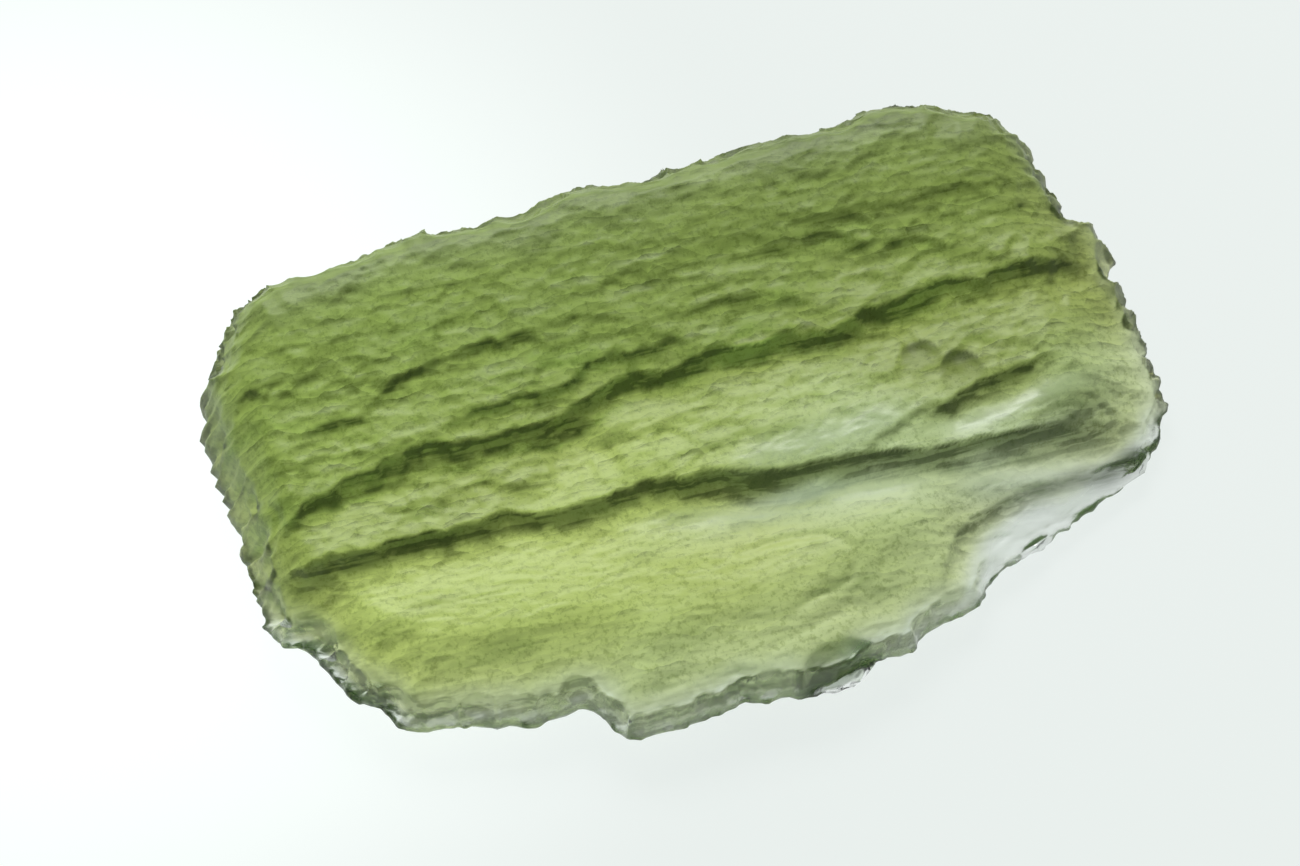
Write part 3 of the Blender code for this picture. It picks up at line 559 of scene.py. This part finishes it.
def stoneMesh(shape):
    x, y, upper, under, inward = stoneSkin(shape)
    along, across = shape["cellsAlong"], shape["cellsAcross"]
    count = (along + 1) * (across + 1)
    top = np.arange(count).reshape(along + 1, across + 1)
    quads = np.stack([top[:-1, :-1], top[1:, :-1], top[1:, 1:], top[:-1, 1:]], axis=-1).reshape(-1, 4)
    inner = (slice(2, -2, 2), slice(2, -2, 2))
    bottom = top.copy()
    low = np.stack([x, y, under], axis=-1)[inner]
    bottom[inner] = count + np.arange(low.size // 3).reshape(low.shape[:2])
    points = np.vstack([np.stack([x, y, upper], axis=-1).reshape(-1, 3), low.reshape(-1, 3)])
    faces = quads.tolist()
    faces += [cellRing(bottom, along, across, i, j) for i in range(0, along, 2) for j in range(0, across, 2)]
    mesh = bpy.data.meshes.new("moldaviteStone")
    mesh.from_pydata((points * mm).tolist(), [], faces)
    isUnder = np.zeros(len(points))
    isUnder[count:] = 1.0
    inward, thick = [np.concatenate([part.ravel(), part[inner].ravel()]) for part in (inward, upper - under)]
    setMasks(mesh, skinMasks(*points[:, :2].T, isUnder, inward, thick, shape))
    return mesh


# What the etching and the material need to know of each point of the skin
def skinMasks(x, y, isUnder, inward, thick, shape):
    isUpper = 1.0 - isUnder
    border = np.interp(x, *np.transpose(shape["etchBorder"]))
    etch = smoothStep(-shape["etchBlend"], shape["etchBlend"], y - border)
    covered = smoothStep(*shape["clearReach"], inward) * smoothStep(*shape["thinClear"], thick)
    strokes = [strokeShade(x, y, *stroke) for stroke in shape["strokeShade"]]
    strokes += [cap(x, y, *place, shape) for place in shape["caps"]]
    scallopShade = scoopedShare(x, y, shape) ** shape["scallopEase"] * smoothStep(*shape["scallopReach"], inward)
    return {
        "isUnder": isUnder,
        "inward": inward * mm,
        "etch": etch,
        "clear": (1.0 - covered) * (1.0 - (1.0 - shape["clearFar"]) * etch),
        "pale": paleShare(x, y, etch, shape),
        "gloss": glossy(x, y, shape),
        "strokeShade": np.maximum.reduce(strokes) * isUpper,
        "scallopShade": scallopShade * isUpper,
    }


def setMasks(mesh, masks):
    for name, values in masks.items():
        mesh.attributes.new(name, "FLOAT", "POINT").data.foreach_set("value", values.astype(np.float32))


def addObject(name, data):
    thing = bpy.data.objects.new(name, data)
    bpy.context.scene.collection.objects.link(thing)
    return thing


# Gives each of the node's inputs a value or a link
def fillInputs(tree, node, inputs):
    for key, value in inputs.items():
        if isinstance(value, bpy.types.NodeSocket):
            tree.links.new(value, node.inputs[key])
        else:
            node.inputs[key].default_value = value


# Adds a node with its settings and returns its outputs
def addNode(tree, kind, inputs=None, **settings):
    node = tree.nodes.new(kind)
    for name, value in settings.items():
        setattr(node, name, value)
    fillInputs(tree, node, inputs or {})
    return node.outputs


etching = {
    "Seed": 3.0,
    "Under Shift": 17.3,  # sets the underside's pattern apart
    "Warp": 0.35 * mm,
    "Warp Size": 1.6 * mm,
    "Nick Length": 0.70 * mm,
    "Nick Breadth": 0.42 * mm,
    "Nick Depth": 0.07 * mm,
    "Fold Length": 1.7 * mm,
    "Fold Spacing": 0.55 * mm,
    "Fold Depth": 0.036 * mm,
    "Fold Breadth": 0.16,  # in heights of the noise
    "Fold Bend": 0.6,
    "Rim Pit": 0.38 * mm,
    "Rim Depth": 0.14 * mm,
    "Rim Breadth": 0.9 * mm,
    "Cup Length": 1.25 * mm,
    "Cup Height": 0.8 * mm,
    "Cup Depth": 0.60 * mm,
    "Cup Least": 0.3,  # shares of the depth, for the shallowest and the deepest cup
    "Cup Most": 1.3,
    "Cup Sideways": 0.4,  # what a slope to the side counts for
    "Cup Slope": 0.2,  # sine of the slope where the cups start, and where they are full
    "Cup Full Slope": 0.65,
    "Cup Reach": 0.6 * mm,  # in from the rim, where the cups start to fade and where they end
    "Cup End": 2.0 * mm,
}


def etchingTree():
    tree = bpy.data.node_groups.new("etching", "GeometryNodeTree")
    tree.interface.new_socket("Geometry", in_out="INPUT", socket_type="NodeSocketGeometry")
    for name in etching:
        tree.interface.new_socket(name, in_out="INPUT", socket_type="NodeSocketFloat")
    tree.interface.new_socket("Material", in_out="INPUT", socket_type="NodeSocketMaterial")
    tree.interface.new_socket("Geometry", in_out="OUTPUT", socket_type="NodeSocketGeometry")
    add = partial(addNode, tree)
    given = add("NodeGroupInput")
    isUnder, inward, etch = [add("GeometryNodeInputNamedAttribute", {"Name": name})["Attribute"]
                             for name in ("isUnder", "inward", "etch")]
    position = add("GeometryNodeInputPosition")[0]
    normal = add("GeometryNodeInputNormal")[0]

    # bend the pattern a little so that no crest runs straight
    fineness = add("ShaderNodeMath", {0: 1.0, 1: given["Warp Size"]}, operation="DIVIDE")[0]
    wobble = add("ShaderNodeTexNoise", {"Vector": position, "Scale": fineness, "Detail": 2.0})["Color"]
    bend = add("ShaderNodeVectorMath", {0: wobble, "Scale": given["Warp"]}, operation="SCALE")[0]
    place = add("ShaderNodeVectorMath", {0: position, 1: bend}, operation="ADD")[0]
    shift = add("ShaderNodeMath", {
        0: isUnder, 1: given["Under Shift"], 2: given["Seed"]}, operation="MULTIPLY_ADD")[0]
    spots = []
    for length, breadth in (("Nick Length", "Nick Breadth"), ("Fold Length", "Fold Spacing")):
        size = add("ShaderNodeCombineXYZ", {0: given[length], 1: given[breadth], 2: 1.0})[0]
        spot = add("ShaderNodeVectorMath", {0: place, 1: size}, operation="DIVIDE")[0]
        spots.append(add("ShaderNodeVectorMath", {0: spot, 1: shift}, operation="ADD")[0])

    # small cups over the etched half
    reach = add("ShaderNodeTexVoronoi", {
        "Vector": spots[0], "Scale": 1.0}, voronoi_dimensions="2D")["Distance"]
    bowl = reach
    for factor in (reach, given["Nick Depth"]):
        bowl = add("ShaderNodeMath", {0: bowl, 1: factor}, operation="MULTIPLY")[0]

    # low folds over the calm half, sharp at the bottom
    wave = add("ShaderNodeTexNoise", {
        "Vector": spots[1], "Scale": 1.0, "Detail": 2.0, "Distortion": given["Fold Bend"]})[0]
    wave = add("ShaderNodeMath", {0: wave, 1: 0.5}, operation="SUBTRACT")[0]
    wave = add("ShaderNodeMath", {0: wave}, operation="ABSOLUTE")[0]
    fold = add("ShaderNodeMapRange", {
        "Value": wave, "From Max": given["Fold Breadth"], "To Max": given["Fold Depth"]})[0]
    height = add("ShaderNodeMix", {0: etch, 2: fold, 3: bowl})[0]

    # both fade out at the rim, where small pits take over
    inside = add("ShaderNodeMapRange", {"Value": inward, "From Max": given["Rim Breadth"]})[0]
    side = add("ShaderNodeMapRange", {"Value": isUnder, "To Min": 1.0, "To Max": -1.0})[0]
    for factor in (inside, side):
        height = add("ShaderNodeMath", {0: height, 1: factor}, operation="MULTIPLY")[0]
    fineness = add("ShaderNodeMath", {0: 1.0, 1: given["Rim Pit"]}, operation="DIVIDE")[0]
    reach = add("ShaderNodeTexVoronoi", {"Vector": place, "Scale": fineness})["Distance"]
    pit = add("ShaderNodeMath", {0: reach, 1: 1.0}, operation="SUBTRACT")[0]
    pit = add("ShaderNodeMath", {0: pit, 1: given["Rim Depth"]}, operation="MULTIPLY")[0]
    pit = add("ShaderNodeMix", {0: inside, 2: pit, 3: 0.0})[0]

    # broad cups of uneven depth bitten into the standing far wall
    size = add("ShaderNodeCombineXYZ", {
        0: given["Cup Length"], 1: given["Cup Length"], 2: given["Cup Height"]})[0]
    spot = add("ShaderNodeVectorMath", {0: place, 1: size}, operation="DIVIDE")[0]
    cell = add("ShaderNodeTexVoronoi", {"Vector": spot, "Scale": 1.0})
    reach = cell["Distance"]
    cup = add("ShaderNodeMath", {0: reach, 1: reach, 2: -1.0}, operation="MULTIPLY_ADD")[0]
    share = add("ShaderNodeSeparateXYZ", {0: cell["Color"]})["X"]
    share = add("ShaderNodeMapRange", {
        "Value": share, "To Min": given["Cup Least"], "To Max": given["Cup Most"]})[0]
    cup = add("ShaderNodeMath", {0: cup, 1: share}, operation="MULTIPLY")[0]
    lean = add("ShaderNodeSeparateXYZ", {0: normal})
    steep = add("ShaderNodeMath", {0: lean["X"]}, operation="ABSOLUTE")[0]
    steep = add("ShaderNodeMath", {
        0: steep, 1: given["Cup Sideways"], 2: lean["Y"]}, operation="MULTIPLY_ADD")[0]
    depth = add("ShaderNodeMapRange", {
        "Value": steep, "From Min": given["Cup Slope"], "From Max": given["Cup Full Slope"],
        "To Max": given["Cup Depth"]})[0]
    outer = add("ShaderNodeMapRange", {
        "Value": inward, "From Min": given["Cup Reach"], "From Max": given["Cup End"],
        "To Min": 1.0, "To Max": 0.0})[0]
    depth = add("ShaderNodeMath", {0: depth, 1: outer}, operation="MULTIPLY")[0]
    pit = add("ShaderNodeMath", {0: cup, 1: depth, 2: pit}, operation="MULTIPLY_ADD")[0]
    upward = add("ShaderNodeCombineXYZ", {2: height})[0]
    within = add("ShaderNodeVectorMath", {0: normal, "Scale": pit}, operation="SCALE")[0]
    offset = add("ShaderNodeVectorMath", {0: upward, 1: within}, operation="ADD")[0]
    moved = add("GeometryNodeSetPosition", {"Geometry": given["Geometry"], "Offset": offset})[0]

    # nothing reaches below the surface that the stone rests on
    where = add("ShaderNodeSeparateXYZ", {0: add("GeometryNodeInputPosition")[0]})
    z = add("ShaderNodeMath", {0: where["Z"], 1: 0.0}, operation="MAXIMUM")[0]
    rested = add("ShaderNodeCombineXYZ", {0: where["X"], 1: where["Y"], 2: z})[0]
    seated = add("GeometryNodeSetPosition", {"Geometry": moved, "Position": rested})[0]
    real = add("GeometryNodeRealizeInstances", {"Geometry": seated})[0]
    coated = add("GeometryNodeSetMaterial", {"Geometry": real, "Material": given["Material"]})[0]
    add("NodeGroupOutput", {"Geometry": coated})
    return tree


# The skin with its small scoops etched in, as a plain mesh
def etchedStone(skin, material):
    blank = addObject("blank", skin)
    tree = etchingTree()
    modifier = blank.modifiers.new("etching", "NODES")
    modifier.node_group = tree
    for socket in tree.interface.items_tree:
        if socket.in_out == "INPUT" and socket.name in etching:
            modifier[socket.identifier] = etching[socket.name]
        elif socket.in_out == "INPUT" and socket.name == "Material":
            modifier[socket.identifier] = material
    graph = bpy.context.evaluated_depsgraph_get()
    mesh = bpy.data.meshes.new_from_object(blank.evaluated_get(graph), depsgraph=graph)
    bpy.data.objects.remove(blank, do_unlink=True)
    mesh.name = "moldaviteStone"
    return mesh


# The places, normals or marks of a mesh's points, as an array
def readPoints(items, name, width):
    values = np.empty(len(items) * width, np.float32)
    items.foreach_get(name, values)
    return values.reshape(-1, width)


# Keeps the stone inside the solid's own box
def fitToBox(mesh, low, high):
    points = readPoints(mesh.vertices, "co", 3)
    least, most = points.min(axis=0), points.max(axis=0)
    scale = (np.array(high) - np.array(low)) / (most - least)
    points = np.array(low) + (points - least) * scale
    mesh.vertices.foreach_set("co", points.astype(np.float32).ravel())
    mesh.update()


# Frost and painted shade by slope: the walls that face down the stone get the most, the climbs that face up
# it the least
def markFrostAndShade(mesh, look):
    nx, ny, _ = readPoints(mesh.vertex_normals, "vector", 3).T
    x, y, _ = readPoints(mesh.vertices, "co", 3).T
    isUnder, inward, gloss = [readPoints(mesh.attributes[name].data, "value", 1).ravel()
                              for name in ("isUnder", "inward", "gloss")]
    downhill = -ny + look["sideways"] * np.abs(nx)
    start, full = look["facing"]
    frostAndShade = np.clip((downhill - start) / (full - start), 0.0, 1.0) ** look["facingPower"]
    frostAndShade -= look["shadeEase"] * frostAndShade ** 2
    frostAndShade *= 1.0 - (1.0 - look["underShade"]) * isUnder
    # less of it along the rim, apart from a fringe at the near rim
    near = smoothStep(*look["nearRimX"], x) * smoothStep(*look["nearRimY"], y)
    start, length = look["rimReach"]
    kept = smoothStep(0.0, 1.0, (inward - start) / (length + near * look["nearReach"]))
    kept = np.maximum(kept, near * look["fringeShare"] * (1.0 - smoothStep(*look["nearFringe"], inward)))
    frostAndShade *= look["rimShade"] + (1.0 - look["rimShade"]) * kept
    frostAndShade *= 1.0 - look["glossUnshaded"] * gloss
    # painted light on the upper side where it climbs back up the stone
    climb = np.clip(-downhill / look["climb"], 0.0, 1.0) * (1.0 - isUnder)
    setMasks(mesh, {"frostAndShade": frostAndShade, "climb": climb})


def linearColor(hexCode, alpha=1.0):
    parts = [int(hexCode[k:k + 2], 16) / 255.0 for k in (1, 3, 5)]
    return (*[c / 12.92 if c <= 0.04045 else ((c + 0.055) / 1.055) ** 2.4 for c in parts], alpha)


# Moldavite: natural silica glass, green from iron, its skin etched by soil acids. The eye gets a clear green
# body that darkens with depth, rougher walls, painted shade on the walls that face down the stone and in the
# pits, and painted light on the climbs.
etchedGlass = {
    "body": "#eff19b",
    "pale": "#f8facc",  # the thin, calm part
    "fretted": "#cccf7e",  # the deeply etched part of the skin
    "paintedShade": "#565b50",  # painted shade on the steep walls that face down the stone
    "paintedLight": "#fbfdac",  # painted light where the skin climbs back up the stone
    "clearAndSheen": "#ffffff",  # clear glass at fresh breaks on the rim, and painted sheen where the skin kept its gloss
    # painted shade at the bottoms of the finest pits
    "pitted": "#c4c8b2",
    "streaked": "#62675a",  # flow lines, darkest on the walls, where they follow the painted shade
    "ior": 1.49,
    "roughness": (0.46, 0.60, 0.26),  # flat places, steep walls, fresh breaks at the rim
    "gloss": 0.95,  # where fresh flow lines kept their gloss
    # painted sheen: how far the base colour turns paler where the skin kept its gloss, and how much painted
    # shade it loses there
    "glossSheen": 0.8,
    "glossUnshaded": 0.8,
    "glossRoughness": 0.34,
    "facing": (0.025, 0.70),  # sine of the slope down the stone where the painted shade and frost start and are full
    "facingPower": 1.3,
    "shadeEase": 0.06,  # how much less painted shade and frost the steepest walls get
    "sideways": 0.25,  # what a slope to the side counts for
    "climb": 0.55,  # sine of the slope up the stone where the painted light is full
    "underShade": 0.3,  # share of the painted shade and frost on the underside
    "rimShade": 0.38,  # share of the painted shade and frost at the rim
    "rimReach": (0.4 * mm, 2.0 * mm),  # in from the rim, where the painted shade and frost start to grow and over what
    "nearRimX": (9.0 * mm, 6.0 * mm),  # the near rim has a longer reach, with a fringe of painted shade and frost
    "nearRimY": (-3.5 * mm, -6.5 * mm),
    "nearReach": 4.0 * mm,
    "nearFringe": (0.6 * mm, 1.5 * mm),
    "fringeShare": 0.6,
    "depthColor": "#d9e7cf",
    "depthPerMetre": 400.0,
    # length, breadth and strength of the finest scallops, painted as shade and light
    "paintedScallops": [(1.10 * mm, 0.60 * mm, 0.8), (0.55 * mm, 0.32 * mm, 0.5)],
    "scallopWarp": (0.9 * mm, 0.35 * mm),
    "scallopDark": 0.9,
    "scallopLight": 0.9,
    "pitSize": 0.24 * mm,  # between the finest pits, which are drawn coarser than the real ones to show
    "pitDepth": 0.020 * mm,
    "freshTexture": 0.5,  # share of the pits' depth on fresh breaks
    "pitShow": (0.50, 0.38),  # heights of the noise between which the pits, flow lines or fibres show
    "flowShow": (0.55, 0.46),
    "strokeShadeShow": (0.40, 0.58),
    "leastFibre": 0.55,
    "flowSize": (6.0 * mm, 0.35 * mm, 0.35 * mm),  # length and spacing of the flow lines
    "flowDepth": 0.015 * mm,
    "clearFibres": 0.08,  # how much the flow lines show in fresh breaks
}


def etchedGlassMaterial(look):
    material = bpy.data.materials.new("etchedGlass")
    material.use_nodes = True
    tree = material.node_tree
    add = partial(addNode, tree)
    place = add("ShaderNodeTexCoord")["Object"]
    names = ("etch", "clear", "pale", "gloss", "frostAndShade", "climb", "scallopShade", "strokeShade")
    etch, clear, pale, gloss, frostAndShade, climb, scallopShade, strokeShade = [
        add("ShaderNodeAttribute", attribute_name=name)["Fac"] for name in names]
    finest = add("ShaderNodeTexNoise", {
        "Vector": place, "Scale": 1.0 / look["pitSize"], "Detail": 4.0, "Roughness": 0.7})[0]
    stretch = add("ShaderNodeMapping", {
        "Vector": place, "Scale": [1.0 / size for size in look["flowSize"]]})[0]
    flow = add("ShaderNodeTexNoise", {"Vector": stretch, "Scale": 1.0, "Detail": 3.0})[0]
    # the finest pits, with painted shade at their bottoms, the flow lines, and the fibres in the painted
    # strokes
    pit, streak, fibres = [
        add("ShaderNodeMapRange", {"Value": noise, "From Min": low, "From Max": high, "To Min": least})[0]
        for noise, (low, high), least in (
            (finest, look["pitShow"], 0.0), (flow, look["flowShow"], 0.0),
            (flow, look["strokeShadeShow"], look["leastFibre"]))]

    # fine scallops painted as shade and light, with no relief of their own: each darkest just below its crest
    # and lightest at its lower end
    warpSize, warp = look["scallopWarp"]
    wavy = add("ShaderNodeTexNoise", {
        "Vector": place, "Scale": 1.0 / warpSize, "Detail": 5.0, "Roughness": 0.6})["Color"]
    wavy = add("ShaderNodeVectorMath", {0: wavy, 1: (0.5, 0.5, 0.5)}, operation="SUBTRACT")[0]
    wavy = add("ShaderNodeVectorMath", {
        0: wavy, 1: (warp, warp, warp), 2: place}, operation="MULTIPLY_ADD")[0]
    shade = 0.0
    for length, breadth, strength in look["paintedScallops"]:
        spot = add("ShaderNodeMapping", {"Vector": wavy, "Scale": (1.0 / length, 1.0 / breadth, 1.0)})[0]
        cell = add("ShaderNodeTexVoronoi", {"Vector": spot, "Scale": 1.0}, voronoi_dimensions="2D")
        aside = add("ShaderNodeVectorMath", {0: spot, 1: cell["Position"]}, operation="SUBTRACT")[0]
        behind = add("ShaderNodeSeparateXYZ", {0: aside})["Y"]
        share = add("ShaderNodeSeparateXYZ", {0: cell["Color"]})["X"]
        share = add("ShaderNodeMath", {0: share, 1: strength}, operation="MULTIPLY")[0]
        shade = add("ShaderNodeMath", {0: behind, 1: share, 2: shade}, operation="MULTIPLY_ADD")[0]
    unshaded = add("ShaderNodeMath", {0: 1.0, 1: frostAndShade}, operation="SUBTRACT")[0]
    for factor in (scallopShade, unshaded):
        shade = add("ShaderNodeMath", {0: shade, 1: factor}, operation="MULTIPLY")[0]
    frostAndShade, climb = [
        add("ShaderNodeMath", {0: shade, 1: share, 2: base}, operation="MULTIPLY_ADD", use_clamp=True)[0]
        for share, base in ((look["scallopDark"], frostAndShade), (-look["scallopLight"], climb))]
    # painted shade of the strokes and caps, broken into fibres
    fibres = add("ShaderNodeMath", {0: strokeShade, 1: fibres}, operation="MULTIPLY")[0]
    frostAndShade = add("ShaderNodeMath", {0: frostAndShade, 1: fibres}, operation="MAXIMUM")[0]

    # each layer of colour over the ones before it: painted shade in the pits and on the walls, painted light
    # on the climbs, painted sheen where the skin kept its gloss
    # paler where the skin is clear at fresh breaks, and painted sheen where it kept its gloss
    best = add("ShaderNodeMath", {0: gloss, 1: look["glossSheen"]}, operation="MULTIPLY")[0]
    best = add("ShaderNodeMath", {0: clear, 1: best}, operation="MAXIMUM")[0]
    # the flow lines show faintly in fresh breaks and as strongly as the painted shade elsewhere
    streaky = add("ShaderNodeMath", {0: clear, 1: look["clearFibres"]}, operation="MULTIPLY")[0]
    streaky = add("ShaderNodeMath", {0: streaky, 1: frostAndShade}, operation="MAXIMUM")[0]
    streak = add("ShaderNodeMath", {0: streak, 1: streaky}, operation="MULTIPLY")[0]
    color = linearColor(look["body"])
    for share, name, blend in (
            (etch, "fretted", "MIX"), (pale, "pale", "MIX"), (pit, "pitted", "MULTIPLY"),
            (climb, "paintedLight", "MIX"), (best, "clearAndSheen", "MIX"), (frostAndShade, "paintedShade", "MULTIPLY"),
            (streak, "streaked", "MULTIPLY")):
        color = add("ShaderNodeMix", {
            0: share, 6: color, 7: linearColor(look[name])}, data_type="RGBA", blend_type=blend)[2]

    flat, wall, fresh = look["roughness"]
    rough = add("ShaderNodeMapRange", {"Value": frostAndShade, "To Min": flat, "To Max": wall})[0]
    rough = add("ShaderNodeMix", {0: clear, 2: rough, 3: fresh})[0]
    coat = add("ShaderNodeMath", {0: gloss, 1: look["gloss"]}, operation="MULTIPLY")[0]
    texture = add("ShaderNodeMapRange", {"Value": clear, "To Min": 1.0, "To Max": look["freshTexture"]})[0]
    pits = add("ShaderNodeBump", {"Height": finest, "Distance": look["pitDepth"], "Strength": texture})[0]
    bump = add("ShaderNodeBump", {"Height": flow, "Distance": look["flowDepth"], "Normal": pits})[0]
    depth = add("ShaderNodeVolumeAbsorption", {
        "Color": linearColor(look["depthColor"]), "Density": look["depthPerMetre"]})[0]
    fillInputs(tree, tree.nodes["Principled BSDF"], {
        "Base Color": color, "Roughness": rough, "IOR": look["ior"], "Transmission Weight": 1.0,
        "Coat Weight": coat, "Coat Roughness": look["glossRoughness"], "Normal": bump})
    fillInputs(tree, tree.nodes["Material Output"], {"Volume": depth})
    return material


studio = {
    "floorHalf": 0.6,
    "floorDrop": 0.0002,
    "floorBase": "#595959",
    "floorRoughness": 0.9,
    "floorColor": "#f4fbf8",  # of the light that comes through the sheet
    "floorGlow": (1.08, 0.85),  # at the brightest spot and away from it
    "glowSpot": (-0.026, 0.008, 0.0),
    "glowReach": (0.010, 0.034),
    "roomColor": "#dfe6e4",
    "roomGlow": 0.14,
    "lens": 180.0,
    "sensor": 36.0,
    "clip": (0.01, 20.0),
    "cameraTarget": (-0.00169, 0.00031, 0.0020),
    "cameraFrom": (-15.0, 60.0, 0.260),  # azimuth, elevation and distance
    "panelTarget": (0.0, 0.0, 0.0),
    "panelFrom": (170.0, 38.0, 0.30),
    "panelSize": (0.22, 0.10),
    "panelWatts": 0.55,
}


# Moves the camera or the panel away from its target and turns it to face it
def faceFrom(thing, target, azimuth, elevation, distance):
    a, e = math.radians(azimuth), math.radians(elevation)
    away = Vector((math.sin(a) * math.cos(e), -math.cos(a) * math.cos(e), math.sin(e)))
    thing.location = Vector(target) + away * distance
    thing.rotation_mode = "QUATERNION"
    thing.rotation_quaternion = away.to_track_quat("Z", "Y")


def addCamera(look):
    camera = addObject("camera", bpy.data.cameras.new("camera"))
    camera.data.lens = look["lens"]
    camera.data.sensor_width = look["sensor"]
    camera.data.clip_start, camera.data.clip_end = look["clip"]
    faceFrom(camera, look["cameraTarget"], *look["cameraFrom"])
    bpy.context.scene.camera = camera


# A pale sheet lit from below, a little brighter to the left of the stone
def addFloor(look):
    half, z = look["floorHalf"], -look["floorDrop"]
    mesh = bpy.data.meshes.new("floor")
    corners = [(-half, -half, z), (half, -half, z), (half, half, z), (-half, half, z)]
    mesh.from_pydata(corners, [], [(0, 1, 2, 3)])
    floor = addObject("floor", mesh)
    material = bpy.data.materials.new("backlitSheet")
    material.use_nodes = True
    tree = material.node_tree
    add = partial(addNode, tree)
    place = add("ShaderNodeTexCoord")["Object"]
    away = add("ShaderNodeVectorMath", {0: place, 1: look["glowSpot"]}, operation="DISTANCE")["Value"]
    glow = add("ShaderNodeMapRange", {
        "Value": away, "From Min": look["glowReach"][0], "From Max": look["glowReach"][1],
        "To Min": look["floorGlow"][0], "To Max": look["floorGlow"][1]}, interpolation_type="SMOOTHSTEP")[0]
    fillInputs(tree, tree.nodes["Principled BSDF"], {
        "Base Color": linearColor(look["floorBase"]), "Roughness": look["floorRoughness"],
        "Emission Color": linearColor(look["floorColor"]), "Emission Strength": glow})
    mesh.materials.append(material)


# A faint even room, and one soft panel beyond the stone
def addLights(look):
    world = bpy.data.worlds.new("room")
    world.use_nodes = True
    fillInputs(world.node_tree, world.node_tree.nodes["Background"], {
        "Color": linearColor(look["roomColor"]), "Strength": look["roomGlow"]})
    bpy.context.scene.world = world
    panel = addObject("farPanel", bpy.data.lights.new("farPanel", "AREA"))
    panel.data.shape = "RECTANGLE"
    panel.data.size, panel.data.size_y = look["panelSize"]
    panel.data.energy = look["panelWatts"]
    faceFrom(panel, look["panelTarget"], *look["panelFrom"])
    panel.visible_camera = False


bpy.context.scene.view_settings.view_transform = "Standard"
addCamera(studio)
addFloor(studio)
addLights(studio)
print("stage: camera, floor and lights are in place")

skin = stoneMesh(stoneShape)
print("stone: skin shaped,", len(skin.polygons), "faces")
stone = addObject("moldaviteStone", etchedStone(skin, etchedGlassMaterial(etchedGlass)))
fitToBox(stone.data, *stoneBox)
markFrostAndShade(stone.data, etchedGlass)
stone.data.shade_smooth()
print("stone: scoops etched")

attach(stone, "root")
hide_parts("moldavite")
